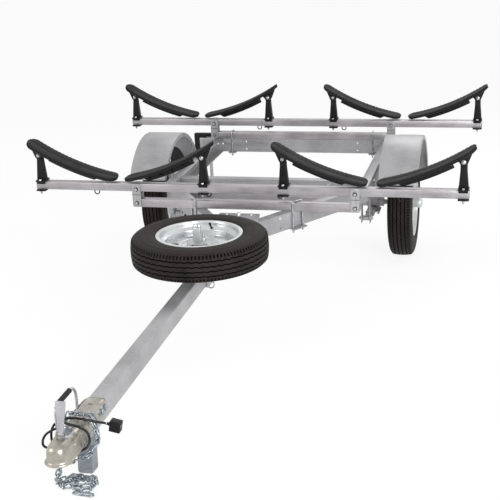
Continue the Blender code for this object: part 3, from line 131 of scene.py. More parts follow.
# Crystals, clouds, grains and bumps are in mm
usual = {"slot": "zinc_plated_steel", "crystal": 4, "spangle": 0.1, "streak": 0.0, "bump": 0.02}
metals = {
    # hot-dip zinc: a dull pale grey skin with faint crystals a few mm across and soft cloudy patches
    "galvanisedSteel": {"slot": "galvanised_steel", "pale": "#bab9bb", "dark": "#98979a", "crystal": 5, "spangle": 0.16,
                        "cloud": 140, "streak": 0.25, "metallic": 0.45, "rough": (0.36, 0.48), "bump": 0.04},
    # drawn bars galvanised evenly, slightly warmer, with drawing lines along them
    "barSteel": {"slot": "galvanised_steel", "pale": "#bbb7ba", "dark": "#8f8b8e", "crystal": 3, "spangle": 0.08,
                 "cloud": 180, "streak": 0.7, "metallic": 0.5, "rough": (0.30, 0.42), "bump": 0.04},
    # bright electroplated zinc on bolts, nuts, U-bolts and rods
    "brightZinc": {"pale": "#d0d2d4", "dark": "#9da1a6", "crystal": 3, "cloud": 20, "metallic": 0.9, "rough": (0.18, 0.34)},
    # tumbled chain steel: blue-grey zinc, darker in the bends
    "chainSteel": {"pale": "#b3bcc3", "dark": "#6b747c", "crystal": 3, "spangle": 0.2, "cloud": 9, "metallic": 0.85,
                   "rough": (0.22, 0.40), "bump": 0.03},
    # satin silver wheel steel, smoother and brighter than the frame
    "wheelSteel": {"pale": "#dbdede", "dark": "#bfc3c4", "spangle": 0.08, "cloud": 120, "metallic": 0.7, "rough": (0.26, 0.36)},
    # pressed coupler in grey zinc with a faint yellow cast, worn to a soft pewter gloss
    "pewterZinc": {"slot": "coupler_zinc", "pale": "#bdb8ad", "dark": "#8e8a80", "crystal": 6, "cloud": 35,
                   "metallic": 0.75, "rough": (0.24, 0.36)},
    # weathered zinc on the foot, duller and darker
    "agedZinc": {"slot": "galvanised_steel", "pale": "#979ca1", "dark": "#757a80", "crystal": 5, "spangle": 0.15,
                 "cloud": 60, "metallic": 0.45, "rough": (0.4, 0.52), "bump": 0.04},
    # the lever's pale plating, evenly grey and nearly matt
    "leverZinc": {"slot": "lever_coating", "pale": "#b7b7ba", "dark": "#a0a0a5", "cloud": 30, "metallic": 0.35,
                  "rough": (0.36, 0.46)},
}
finishes = {}
for name, own in metals.items():
    m = {**usual, **own}
    material, tree, shader, place = newMaterial(name)
    crystal = addNode(tree, "TexVoronoi", {"Vector": place, "Scale": 1000 / m["crystal"], "Randomness": 1.0})
    cloud = addNode(tree, "TexNoise", {"Vector": place, "Scale": 1000 / m["cloud"], "Detail": 4.0, "Roughness": 0.55})
    grain = addNode(tree, "SeparateColor", {"Color": crystal.outputs["Color"]})
    mixed = addNode(tree, "Math", {0: grain.outputs[0], 1: m["spangle"], 2: cloud.outputs["Fac"]}, operation="MULTIPLY_ADD")
    if m["streak"]:  # fine lines drawn out along X, 1.5 mm apart
        drawn = addNode(tree, "Mapping", {"Vector": place, "Scale": (12, 650, 650)})
        lines = addNode(tree, "TexNoise", {"Vector": drawn.outputs[0], "Scale": 1.0, "Detail": 3.0})
        lines = addNode(tree, "Math", {0: lines.outputs["Fac"], 1: 0.5}, operation="SUBTRACT")
        mixed = addNode(tree, "Math", {0: lines.outputs[0], 1: m["streak"], 2: mixed.outputs[0]}, operation="MULTIPLY_ADD")
    spread = (0.3, 0.7 + m["spangle"])
    surfaceBy(tree, shader, mixed.outputs[0], m, spread, spread)
    shader.inputs["Metallic"].default_value = m["metallic"]
    skinGrain = addNode(tree, "TexNoise", {"Vector": place, "Scale": 900.0, "Detail": 3.0})
    bump = addNode(tree, "Bump", {"Height": skinGrain.outputs["Fac"], "Distance": m["bump"] / 1000, "Strength": 1.0})
    tree.links.new(bump.outputs["Normal"], shader.inputs["Normal"])
    finishes[name] = (material, m["slot"])

softs = {
    # moulded tyre rubber: brown-black, matt, with a fine skin and dusty patches
    "tyreRubber": {"slot": "tyre_rubber", "dark": "#171314", "pale": "#302825", "grain": 0.8, "cloud": 45,
                   "rough": (0.6, 0.8), "bump": 0.12, "specular": 0.22},
    # the same rubber painted near-black down in the grooves and shoulder notches: painted shade in the recesses
    "grooveRubber": {"slot": "tyre_rubber", "dark": "#050405", "pale": "#0b090a", "grain": 0.8, "cloud": 45,
                     "rough": (0.7, 0.85), "bump": 0.05, "specular": 0.1},
    # glass-filled nylon: black with a fine moulded grain
    "mouldedNylon": {"slot": "black_plastic", "dark": "#0b0b0d", "pale": "#151517", "grain": 0.7, "cloud": 30,
                     "rough": (0.4, 0.55), "bump": 0.06, "specular": 0.25},
    # soft moulded pad rubber, matt with a pebbled skin
    "padRubber": {"slot": "carrier_pad", "dark": "#0d0d0e", "pale": "#1b1a1b", "grain": 1.6, "cloud": 60,
                  "rough": (0.6, 0.8), "bump": 0.22, "specular": 0.25},
    # flexible cable jacket, smooth and slightly glossy
    "cableJacket": {"slot": "black_plastic", "dark": "#0b0b0d", "pale": "#141518", "grain": 2.5, "cloud": 40,
                    "rough": (0.32, 0.44), "bump": 0.04, "specular": 0.35},
}
for name, m in softs.items():
    material, tree, shader, place = newMaterial(name)
    grain = addNode(tree, "TexNoise", {"Vector": place, "Scale": 1000 / m["grain"], "Detail": 2.0})
    cloud = addNode(tree, "TexNoise", {"Vector": place, "Scale": 1000 / m["cloud"], "Detail": 5.0, "Roughness": 0.65})
    surfaceBy(tree, shader, cloud.outputs["Fac"], m, (0.35, 0.7), (0.3, 0.7))
    shader.inputs["Specular IOR Level"].default_value = m["specular"]
    bump = addNode(tree, "Bump", {"Height": grain.outputs["Fac"], "Distance": m["bump"] / 1000, "Strength": 1.0})
    tree.links.new(bump.outputs["Normal"], shader.inputs["Normal"])
    finishes[name] = (material, m["slot"])

# moulded acrylic lens: clear deep red with fine prism ribs 3 mm apart inside it
material, tree, shader, place = newMaterial("redAcrylic")
ribs = addNode(tree, "TexWave", {"Vector": place, "Scale": 52.0}, wave_type="BANDS", bands_direction="X")
colour = addNode(tree, "Mix", {0: ribs.outputs["Fac"], 6: linear("#8c0d10"), 7: linear("#b8161a")}, data_type="RGBA")
tree.links.new(colour.outputs[2], shader.inputs["Base Color"])
shader.inputs["Roughness"].default_value = 0.12
shader.inputs["Coat Weight"].default_value = 0.6
bump = addNode(tree, "Bump", {"Height": ribs.outputs["Fac"], "Distance": 0.2 / 1000, "Strength": 1.0})
tree.links.new(bump.outputs["Normal"], shader.inputs["Normal"])
finishes["redAcrylic"] = (material, "red_lens")


# Shapes, each made at its own origin and then put in place
def at(x, y, z):
    return Matrix.Translation((x, y, z))


def facing(side):  # a Z shape laid outwards on the right (1) or left (-1) side
    return turnX if side > 0 else turnX.inverted()


def ringAngles(count):
    return [2 * pi * step / count for step in range(count)]


def put(build, shape, place=Matrix()):
    shape.transform(place)
    carried = bpy.data.meshes.new("carried")
    shape.to_mesh(carried)
    shape.free()
    build.from_mesh(carried)
    bpy.data.meshes.remove(carried)


def finished(name, build, body, finish, replaced=(), smooth=35, turnRound=True):
    if turnRound:
        bmesh.ops.recalc_face_normals(build, faces=build.faces)
    build.transform(trailer)
    mesh = bpy.data.meshes.new(name)
    build.to_mesh(mesh)
    build.free()
    mesh.shade_smooth()
    mesh.set_sharp_from_angle(angle=radians(smooth))
    material, slot = finishes[finish]
    mesh.materials.append(material)
    piece = addObject(name, mesh)
    if body:
        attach(piece, body)
    if replaced:
        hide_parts(*replaced)
    return piece


def assembled(name, parts, body, finish, replaced=(), **how):  # one piece from pairs of shape and place
    build = bmesh.new()
    for shape, place in parts:
        put(build, shape, place)
    return finished(name, build, body, finish, replaced, **how)


def sharpEdges(shape, degrees):
    return [edge for edge in shape.edges if edge.calc_face_angle(0) > radians(degrees)]


def bevelled(shape, edges, width, segments=2, clamp=False):
    bmesh.ops.bevel(shape, geom=edges, offset=width, segments=segments, profile=0.5, affect="EDGES", material=-1,
                    clamp_overlap=clamp)


def block(low, high, edge=0.001, segments=2):
    shape = bmesh.new()
    bmesh.ops.create_cube(shape, size=1)
    bmesh.ops.scale(shape, vec=Vector(high) - Vector(low), verts=shape.verts)
    bmesh.ops.translate(shape, vec=(Vector(low) + Vector(high)) / 2, verts=shape.verts)
    if edge:
        bevelled(shape, shape.edges[:], edge, segments)
    return shape


def blockOn(side, low, high, edge=0.001, segments=2):  # a block given for the right and mirrored to the left
    x0, x1 = sorted((side * low[0], side * high[0]))
    return block((x0, *low[1:]), (x1, *high[1:]), edge, segments)


def turned(profile, steps=48):  # (radius, height) points spun about Z
    shape = bmesh.new()
    ring = [shape.verts.new((radius, 0, height)) for radius, height in profile]
    edges = [shape.edges.new(pair) for pair in zip(ring, ring[1:])]
    bmesh.ops.spin(shape, geom=ring + edges, cent=(0, 0, 0), axis=(0, 0, 1), angle=2 * pi, steps=steps, use_merge=True)
    bmesh.ops.remove_doubles(shape, verts=shape.verts, dist=1e-6)
    return shape


def plug(radius, length, steps=24, edge=0.0006):  # a solid round with softened ends, along Z
    half = length / 2
    return turned([(0, -half), (radius - edge, -half), (radius, -half + edge), (radius, half - edge), (radius - edge, half), (0, half)], steps)


def sheet(outline, thickness, edge=0.0008, segments=2):  # a flat outline in XY with thickness along Z
    shape = bmesh.new()
    face = shape.faces.new([shape.verts.new((x, y, -thickness / 2)) for x, y in outline])
    made = bmesh.ops.extrude_face_region(shape, geom=[face])["geom"]
    bmesh.ops.translate(shape, vec=(0, 0, thickness), verts=[v for v in made if isinstance(v, bmesh.types.BMVert)])
    if not any(len(f.verts) == len(outline) and f.calc_center_median().z < 0 for f in shape.faces):
        bmesh.ops.contextual_create(shape, geom=[e for e in shape.edges if e.is_boundary])
    bmesh.ops.recalc_face_normals(shape, faces=shape.faces)
    if edge:
        bevelled(shape, sharpEdges(shape, 25), edge, segments)
    return shape


def rounded(corners, radius, steps=4):  # an outline with its corners rounded off
    outline = []
    count = len(corners)
    for index in range(count):
        before, corner, after = (Vector(corners[(index + k) % count]) for k in (-1, 0, 1))
        reach = radius[index] if isinstance(radius, (list, tuple)) else radius
        start, end = corner + (before - corner).normalized() * reach, corner + (after - corner).normalized() * reach
        for step in range(steps + 1):
            t = step / steps
            outline.append(tuple((1 - t) ** 2 * start + 2 * t * (1 - t) * corner + t * t * end))
    return outline


def oblong(halfX, halfY, radius):
    return rounded([(-halfX, -halfY), (halfX, -halfY), (halfX, halfY), (-halfX, halfY)], radius)


def rod(points, radius, sides=3, cyclic=False):  # a round bar along points
    curve = bpy.data.curves.new("rod", "CURVE")
    curve.dimensions = "3D"
    curve.bevel_depth, curve.bevel_resolution, curve.use_fill_caps = radius, sides, not cyclic
    spline = curve.splines.new("POLY")
    spline.points.add(len(points) - 1)
    for index, point in enumerate(points):
        spline.points[index].co = (*point, 1)
    spline.use_cyclic_u = cyclic
    holder = addObject("rod", curve)
    mesh = bpy.data.meshes.new_from_object(holder.evaluated_get(bpy.context.evaluated_depsgraph_get()))
    bpy.data.objects.remove(holder)
    shape = bmesh.new()
    shape.from_mesh(mesh)
    bpy.data.meshes.remove(mesh)
    bmesh.ops.remove_doubles(shape, verts=shape.verts, dist=1e-6)
    return shape


def lengthOf(points):
    return sum((b - a).length for a, b in zip(points, points[1:]))


def smoothLine(route, spacing):  # even points on a smooth curve through the route
    route = [Vector(point) for point in route]
    ends = [2 * route[0] - route[1], *route, 2 * route[-1] - route[-2]]
    fine = []
    for before, start, end, after in zip(ends, ends[1:], ends[2:], ends[3:]):
        for step in range(12):
            t = step / 12
            bend, swing = 2 * before - 5 * start + 4 * end - after, 3 * start - before - 3 * end + after
            fine.append(0.5 * (2 * start + (end - before) * t + bend * t**2 + swing * t**3))
    fine.append(route[-1])
    length = lengthOf(fine)
    count = max(2, round(length / spacing))
    points, target, walked = [fine[0]], length / count, 0.0
    for a, b in zip(fine, fine[1:]):
        step = (b - a).length
        while step and walked + step >= target * len(points) and len(points) < count:
            points.append(a.lerp(b, (target * len(points) - walked) / step))
        walked += step
    points.append(fine[-1])
    return points


washerHigh = 0.0016


def hexBolt(across=0.0110, height=0.0045, washer=0.0072):  # a hexagon head on a washer, standing on Z = 0
    shape = turned([(0, 0), (washer, 0), (washer, 0.0012), (washer - 0.0004, washerHigh), (0, washerHigh)], 24)
    head = bmesh.new()
    corner = across / 2 / cos(pi / 6)
    bmesh.ops.create_cone(head, cap_ends=True, segments=6, radius1=corner, radius2=corner, depth=height)
    bevelled(head, [e for e in head.edges if all(v.co.z > 0 for v in e.verts)], 0.0009)
    put(shape, head, at(0, 0, height / 2 + washerHigh))
    return shape


def lockNut(across, height, stud, reach):  # nut, washer and a stud end with its thread
    shape = hexBolt(across, height, 0.0085)
    top, pitch = height + washerHigh, 0.0012
    thread = [(0, top - 0.001)]
    for step in range(int(reach / pitch)):
        thread += [(stud - 0.0005, top + step * pitch), (stud, top + step * pitch + pitch / 2)]
    thread += [(stud - 0.0008, top + reach), (0, top + reach)]
    put(shape, turned(thread, 16))
    return shape


def carved(shape, cutters):  # cut by other shapes
    made = []
    for index, part in enumerate([shape, *cutters]):
        mesh = bpy.data.meshes.new("carving")
        bmesh.ops.recalc_face_normals(part, faces=part.faces)
        part.to_mesh(mesh)
        part.free()
        made.append(addObject(f"carving{index}", mesh))
    for cutter in made[1:]:
        modifier = made[0].modifiers.new("carve", "BOOLEAN")
        modifier.operation, modifier.solver, modifier.object = "DIFFERENCE", "EXACT", cutter
    bpy.context.view_layer.update()
    mesh = bpy.data.meshes.new_from_object(made[0].evaluated_get(bpy.context.evaluated_depsgraph_get()))
    result = bmesh.new()
    result.from_mesh(mesh)
    for thing in made:
        bpy.data.objects.remove(thing)
    bpy.data.meshes.remove(mesh)
    return result


def nodeShape(node):  # a merged copy of a CAD node in the trailer's frame
    shape = bmesh.new()
    shape.from_mesh(frame["nodes"][node].data)
    shape.transform(toTrailer)
    bmesh.ops.remove_doubles(shape, verts=shape.verts, dist=2e-5)
    return shape


def softened(node, width, finish):  # a CAD node with its edges rounded
    build = nodeShape(node)
    bmesh.ops.dissolve_limit(build, angle_limit=radians(1), verts=build.verts, edges=build.edges)
    bevelled(build, sharpEdges(build, 30), width, clamp=True)
    finished(node + "_rounded", build, bodyOf[node], finish, [node], turnRound=False)


def faceUp(build):  # an open skin whose topmost face looks up
    bmesh.ops.recalc_face_normals(build, faces=build.faces)
    if max(build.faces, key=lambda face: face.calc_center_median().z).normal.z < 0:
        bmesh.ops.reverse_faces(build, faces=build.faces)


print("camera, finishes and shapes ready")

# Wiring cable, the one free cord; its points are those of the CAD route
cableRoute = [
    (-0.0303, -2.600, 0.1350), (-0.0440, -2.600, 0.1350), (-0.0535, -2.610, 0.1355), (-0.0560, -2.635, 0.1365),
    (-0.0560, -2.680, 0.1385), (-0.0560, -2.730, 0.1410), (-0.0560, -2.780, 0.1455), (-0.0560, -2.820, 0.1520),
    (-0.0565, -2.862, 0.1640), (-0.0575, -2.895, 0.1700), (-0.0580, -2.916, 0.1640), (-0.0575, -2.918, 0.1480),
    (-0.0530, -2.902, 0.1310), (-0.0440, -2.890, 0.1170), (-0.0260, -2.880, 0.1095), (0.0000, -2.872, 0.1075),
    (0.0260, -2.866, 0.1095), (0.0430, -2.858, 0.1170), (0.0490, -2.848, 0.1300), (0.0480, -2.846, 0.1500),
    (0.0455, -2.858, 0.1700), (0.0370, -2.868, 0.1825), (0.0210, -2.866, 0.1870), (-0.0040, -2.860, 0.1880),
    (-0.0200, -2.855, 0.1880), (-0.0330, -2.852, 0.1875), (-0.0425, -2.858, 0.1860), (-0.0470, -2.870, 0.1800),
    (-0.0480, -2.880, 0.1680), (-0.0475, -2.884, 0.1500), (-0.0465, -2.880, 0.1330), (-0.0460, -2.870, 0.1220),
    (-0.0460, -2.854, 0.1180), (-0.0455, -2.838, 0.1240), (-0.0450, -2.830, 0.1400), (-0.0440, -2.828, 0.1600),
    (-0.0400, -2.828, 0.1760), (-0.0290, -2.826, 0.1845), (-0.0120, -2.823, 0.1865), (0.0060, -2.820, 0.1860),
    (0.0240, -2.818, 0.1830), (0.0420, -2.811, 0.1770), (0.0600, -2.805, 0.1710), (0.0780, -2.8015, 0.1675),
    (0.0960, -2.8000, 0.1640),
]
lead = {"radius": 0.0035, "plug": 0.033, "depth": 0.025, "spacing": 0.003}
cablePoints = smoothLine(cableRoute, lead["spacing"])
cable = finished("wiringLead", rod(cablePoints, lead["radius"], 4), "frame", "cableJacket", ["wiring_cable"], smooth=60)
cableAim = (Vector(cableRoute[-1]) - Vector(cableRoute[-2])).normalized()
plugTilt = Matrix.Translation(cablePoints[-1]) @ Matrix.Rotation(atan2(-cableAim.z, cableAim.x), 4, "Y")  # +X runs on
high, deep = lead["plug"] / 2, lead["depth"] / 2
parts = [(block((0.0003, -deep, -high), (2 * high, deep, high), 0.0022, 3), plugTilt)]
for step in range(4):  # finger ridges on its two broad sides
    x = 0.007 + 0.0055 * step
    parts += [(block((x, y - 0.0006, -high + 0.006), (x + 0.0025, y + 0.0006, high - 0.006), 0.0004), plugTilt) for y in (-deep, deep)]
collarProfile = mm((4.2, 0), (4.2, 4), (5.5, 4), (5.5, 8.5), (3.6, 8.5))
parts.append((turned(collarProfile, 24), plugTilt @ at(-0.0085, 0, 0) @ turnX))
squarePlug = assembled("squarePlug", parts, "frame", "mouldedNylon", ["cable_plug"])
sleeveProfile = mm((3.7, -12.5), (4.6, -12.2), (4.8, -10.5), (4.8, -8.8), (3.7, -8.6))
contactProfile = mm((0, 0), (1.6, 0), (1.9, 0.4), (1.9, 1.6), (0, 1.6))
parts = [(turned(sleeveProfile, 24), plugTilt @ turnX)]
parts += [(turned(contactProfile, 12), plugTilt @ at(2 * high - 0.0012, y, 0.004) @ turnX) for y in (-0.006, 0, 0.006)]
plugMetal = assembled("plugSleeve", parts, "frame", "brightZinc")


# Tyres
tyre = {"radius": hubPoint.z, "steps": 240, "rib": 0.043, "grooves": (0.0285, 0.0095), "grooveHalf": 0.0024,
        "grooveDepth": 0.0065, "crown": 2.1, "notch": 0.0045, "zigzag": 0.0012, "lug": 0.0385}
tyreSide = mm(
    (156, 47.5), (155.8, 51), (157.2, 52.8), (164, 53.4), (171.5, 54.5), (174, 56.2), (175.2, 58), (179, 58.6),
    (180.5, 59.7), (195, 61.2), (208, 61.5), (209, 60.9), (210.5, 60.9), (211.5, 61.4), (222, 60.8), (233, 59.4),
    (234.5, 58.6), (236, 58.7), (237.5, 59), (245, 57.1), (252, 54.5), (256, 52), (257.5, 50.5), (260.5, 47.5), (263, 45.5),
)
tyreInside = mm((159, -44), (170, -44), (200, -48), (240, -44), (256, -30), (260, 0), (256, 30), (240, 44), (200, 48), (170, 44), (159, 44))


def crownAt(x):  # the tread's radius across its width
    return tyre["radius"] - tyre["crown"] * x * x


def turnStep(point):  # how many steps round the wheel a point lies
    return (atan2(point.y, point.x) % (2 * pi)) / (2 * pi) * tyre["steps"]


def nearGroove(z, reach):
    return any(abs(abs(z) - groove) < reach for groove in tyre["grooves"])


def tyreShape():
    rib, depth, gap = tyre["rib"], tyre["grooveDepth"], tyre["grooveHalf"]
    half = tyreSide + [(crownAt(rib) - 0.0006, rib + 0.0008), (crownAt(rib), rib), (crownAt(tyre["lug"]), tyre["lug"])]
    for x in tyre["grooves"]:
        for offset, drop in ((gap + 0.0006, 0), (gap, 0.0007), (gap - 0.0006, depth)):
            half.append((crownAt(x + offset) - drop, x + offset))
        for offset, drop in ((-gap + 0.0006, depth), (-gap, 0.0007), (-gap - 0.0006, 0)):
            half.append((crownAt(x + offset) - drop, x + offset))
    profile = half + [(r, -x) for r, x in reversed(half)] + tyreInside
    shape = turned(profile + profile[:1], tyre["steps"])
    # blocks round both shoulders, cut between every second step
    sunkFaces = []
    for face in shape.faces:
        middle = face.calc_center_median()
        if int(turnStep(middle)) % 2 == 0 and middle.xy.length > 0.2570 and tyre["lug"] < abs(middle.z) < 0.0512:
            sunkFaces.append(face)
    geometry = bmesh.ops.extrude_face_region(shape, geom=sunkFaces)["geom"]
    bmesh.ops.delete(shape, geom=[f for f in sunkFaces if f.is_valid], context="FACES")
    for vert in geometry:
        if isinstance(vert, bmesh.types.BMVert):
            vert.co -= Vector((vert.co.x, vert.co.y, 0)).normalized() * tyre["notch"]
    for face in shape.faces:  # the sunk faces take the near-black rubber, painted shade in the grooves and notches
        middle = face.calc_center_median()
        reach, wide = middle.xy.length, abs(middle.z)
        inGroove = nearGroove(middle.z, gap + 0.0003) and reach < crownAt(middle.z) - 0.0010
        between = tyre["lug"] < wide < 0.0505 and reach < crownAt(middle.z) - 0.0030 - 0.9 * max(0, wide - 0.0440)
        face.material_index = int(reach > 0.2540 and (inGroove or between))
    for vert in shape.verts:  # the grooves run in a zigzag, two steps each way
        if vert.co.xy.length > crownAt(vert.co.z) - depth - 0.0004 and nearGroove(vert.co.z, gap + 0.0008):
            vert.co.z += tyre["zigzag"] * (1 if round(turnStep(vert.co)) % 4 < 2 else -1)
    return shape


spare = {"turn": radians(18), "studs": (1, 3, 4), "middle": nodeMiddle("spare_tyre")}
wheels = [  # word, body, place, tyre node, rim node
    ("left", "left_wheel", at(-hubPoint.x, 0, 0) @ facing(-1), "tyre_left", "rim_left"),
    ("right", "right_wheel", at(hubPoint.x, 0, 0) @ facing(1), "tyre_right", "rim_right"),
    ("spare", "frame", at(*spare["middle"]) @ Matrix.Rotation(spare["turn"], 4, "Z"), "spare_tyre", "spare_rim"),
]
for word, body, place, node, _ in wheels:
    piece = assembled(word + "Tyre", [(tyreShape(), place)], body, "tyreRubber", [node], smooth=32)
    # second slot: near-black rubber as painted shade in the grooves and notches
    piece.data.materials.append(finishes["grooveRubber"][0])
print("tyres made")

# Wheel rims: drop-centre barrel, dished disc with five windows, bolt seats and a valve
wheel = {"steps": 120, "windows": 5, "inner": 0.084, "outer": 0.1265, "wide": radians(21), "bolts": 5,
         "boltCircle": 0.0535, "boltHole": 0.0070}
rimProfile = mm(
    (154.5, 55.5), (152.8, 52), (152.2, 47), (151.2, 42), (150.5, 38.5), (147, 34.5), (140, 29.2), (136.5, 26.2),
    (135.2, 22.5), (135, 7), (133.8, 4), (130.5, 3), (123, 5.5), (113, 10), (103, 13.8), (98, 14.6),
    (79, 14.6), (74.5, 13.6), (71, 10), (68, 5.6), (65.5, 4.1), (35.5, 4.1), (33.6, 3.4), (33, 2),
    (33, 0.4), (34.5, 0), (65.5, 0), (70, 3), (73.5, 8), (77.5, 10.4), (98.5, 10.4), (105, 8.6),
    (128, -1), (134, -3.4), (135, -7), (135, -23), (136.5, -26.2), (140, -29.2), (147, -34.5), (150.5, -38.5),
    (151.2, -42), (152.2, -47), (152.8, -52), (154.5, -55.5), (157.5, -56), (165, -56), (168.6, -55.6), (169, -54.5),
    (168.4, -53.4), (160, -53), (155.6, -50.5), (155.4, -40), (151, -34.6), (140, -25.2), (138.4, -22.2), (138.4, 22.2),
    (140, 25.2), (151, 34.6), (155.4, 40), (155.6, 50.5), (160, 53), (168.4, 53.4), (169, 54.5), (168.6, 55.6), (165, 56), (157.5, 56),
)
valveProfile = mm((0, -4), (5.5, -4), (6.2, 0), (5.2, 2.5), (4, 6), (3.8, 22), (4.6, 22.5), (4.8, 33), (4.2, 34.5), (0, 34.7))


def boltSeat(index, height, turn=0.0):  # where a wheel bolt stands on its circle
    angle = 2 * pi * index / wheel["bolts"] + turn
    return at(wheel["boltCircle"] * cos(angle), wheel["boltCircle"] * sin(angle), height)


def rimShape():
    cutters = []
    inner, outer, wide = wheel["inner"], wheel["outer"], wheel["wide"]
    for index in range(wheel["windows"]):
        middle = 2 * pi * (index + 0.5) / wheel["windows"]
        spots = ((outer, -wide), (outer + 0.002, 0), (outer, wide), (inner, wide * 0.62), (inner, -wide * 0.62))
        corners = [(r * cos(middle + a), r * sin(middle + a)) for r, a in spots]
        cutters.append(sheet(rounded(corners, [0.009, 0.010, 0.009, 0.007, 0.007]), 0.05, 0))
    hole = wheel["boltHole"]
    for index in range(wheel["bolts"]):
        seat = turned([(0, -0.010), (hole, -0.010), (hole, 0.0018), (0.0098, 0.0048), (0, 0.0048)], 32)
        seat.transform(boltSeat(index, 0))
        cutters.append(seat)
    shape = carved(turned(rimProfile + rimProfile[:1], wheel["steps"]), cutters)
    bevelled(shape, [e for e in sharpEdges(shape, 50) if 0.080 < e.verts[0].co.xy.length < 0.131], 0.0007, clamp=True)
    for index in range(wheel["windows"]):  # pressed ribs that stiffen the spokes
        rib = block((0.079, -0.0035, 0.0125), (0.1090, 0.0035, 0.0165), 0.0016, 3)
        put(shape, rib, Matrix.Rotation(2 * pi * index / wheel["windows"], 4, "Z"))
    return shape


valvePlace = Matrix.Rotation(radians(68), 4, "Z") @ at(0.1440, 0, 0.0300) @ Matrix.Rotation(radians(-38), 4, "Y")
for word, body, place, _, node in wheels:
    assembled(word + "Rim", [(rimShape(), place)], body, "wheelSteel", [node], smooth=30, turnRound=False)
    assembled(word + "Valve", [(turned(valveProfile, 24), place @ valvePlace)], body, "mouldedNylon")
print("rims made")

# Hubs with their dust caps, studs and wheel nuts
hubProfile = mm(
    (0, 92.4), (10, 92.1), (16.5, 91), (21.5, 88.2), (24.5, 83.9), (25.6, 78.4), (26, 72.4), (26, 40), (27.2, 39.2),
    (27.5, 37.2), (26.8, 36.2), (29, 34), (31.5, 30.5), (32, 27), (32, -0.3), (67.2, -0.3), (68, -1.2), (68, -8.2),
    (67, -9), (36, -10), (34, -12.5), (30.8, -40), (30, -43.8), (29, -45), (13.7, -45), (13.7, 50), (0, 50),
)
for word, body, place, _, _ in wheels[:2]:
    assembled(word + "Hub", [(turned(hubProfile, 64), place)], body, "wheelSteel", ["hub_" + word])
    nuts = [(lockNut(0.0190, 0.0120, 0.0058, 0.0130), place @ boltSeat(index, 0.0026)) for index in range(wheel["bolts"])]
    assembled(word + "WheelNuts", nuts, body, "brightZinc")
print("hubs made")

# Fenders: rolled sheet with beaded edges, on stays bolted to the side rails
fender = {"top": 0.338, "sheet": 0.0022, "lip": 0.016, "bead": 0.0028, "inner": 0.535, "outer": 0.725,
          "from": 30, "to": 165, "steps": 72, "stay": 0.200, "rail": 0.5003}
top, edge, bead = fender["top"] + fender["sheet"], fender["top"] - fender["lip"], fender["bead"]
inner, outer, rail = fender["inner"], fender["outer"], fender["rail"]
outside = [(edge, inner), (top - 0.006, inner), (top - 0.0018, inner + 0.0018), (top, inner + 0.006)]
outside += [(radius, inner + outer - x) for radius, x in reversed(outside)]
curl = []  # each edge is rolled inwards round a wire
for step in range(9):
    angle = -pi * 0.15 - 1.7 * pi * step / 8
    curl.append((edge - bead * 0.9 + bead * sin(angle + pi / 2), inner + bead - bead * cos(angle + pi / 2)))
fenderSection = curl[::-1] + outside[1:-1] + [(radius, inner + outer - x) for radius, x in curl]
for side, word in ((-1, "left"), (1, "right")):
    build = bmesh.new()
    verts = [build.verts.new((side * x, -radius, 0)) for radius, x in fenderSection]
    edges = [build.edges.new(pair) for pair in zip(verts, verts[1:])]
    bmesh.ops.rotate(build, cent=(0, 0, 0), matrix=Matrix.Rotation(-radians(fender["from"]), 3, "X"), verts=verts)
    bmesh.ops.spin(build, geom=verts + edges, cent=(0, 0, 0), axis=(1, 0, 0), steps=fender["steps"],
                   angle=-radians(fender["to"] - fender["from"]), use_merge=False)
    faceUp(build)
    shell = finished(word + "Fender", build, "frame", "galvanisedSteel", ["fender_" + word], turnRound=False, smooth=40)
    thick = shell.modifiers.new("sheet", "SOLIDIFY")
    thick.thickness, thick.offset, thick.use_even_offset = fender["sheet"], -1, True
    stays, bolts = [], []
    for y in (-fender["stay"], fender["stay"]):
        crown = (fender["top"] ** 2 - y * y) ** 0.5 - 0.012
        stays += [
            (blockOn(side, (rail, y - 0.015, 0.1475), (inner + 0.0062, y + 0.015, 0.1535), 0.0008), Matrix()),
            (blockOn(side, (inner + 0.0026, y - 0.013, 0.1480), (inner + 0.0062, y + 0.013, crown), 0.0008), Matrix()),
            (blockOn(side, (rail, y - 0.018, 0.1250), (rail + 0.0032, y + 0.018, 0.1740), 0.0008), Matrix()),
        ]
        bolts += [(hexBolt(), at(side * (rail + 0.0032), y, up) @ facing(side)) for up in (0.1340, 0.1650)]
        bolts += [(hexBolt(), at(side * (inner - 0.0002), y, up) @ facing(-side)) for up in (crown - 0.010, crown - 0.030)]
    assembled(word + "FenderStays", stays, "frame", "barSteel")
    assembled(word + "FenderBolts", bolts, "frame", "brightZinc")
print("fenders made")

# Frame: rails, cross channels, tongue and the bars, with softened edges
bars = ("lower_bar_front", "lower_bar_rear", "load_bar_front", "load_bar_rear")
corners = [(end, word) for end in ("front", "rear") for word in ("left", "right")]
for node in ("tongue", "frame_rail_left", "frame_rail_right", "front_cross_channel", "rear_cross_channel"):
    softened(node, 0.0010, "galvanisedSteel")
for node in ("gusset_plates", "spare_carrier"):
    softened(node, 0.0008, "galvanisedSteel")
for node in (*bars, "axle"):
    softened(node, 0.0008, "barSteel")
for end, word in corners:
    softened(f"bar_bracket_{end}_{word}", 0.0006, "galvanisedSteel")

bar = {"side": 0.0381, "wall": 0.0025, "cap": 0.0024, "ribs": 3, "ribSpacing": 0.004}
inside = bar["side"] / 2 - bar["wall"] - 0.0003
caps = []
for node in bars:
    middle, capStart = nodeMiddle(node), nodeBox(node)[1].x - bar["cap"]
    low, high = (middle.y - inside, middle.z - inside), (middle.y + inside, middle.z + inside)
    for side in (-1, 1):
        caps.append((blockOn(side, (capStart, *low), (capStart + bar["cap"], *high), 0.0009, 3), Matrix()))
        for rib in range(bar["ribs"]):  # ribs that grip the tube
            x = capStart - bar["ribSpacing"] * (rib + 1)
            caps.append((blockOn(side, (x - 0.0008, *low), (x + 0.0008, *high), 0.0004), Matrix()))
assembled("barEndCaps", caps, "frame", "mouldedNylon")

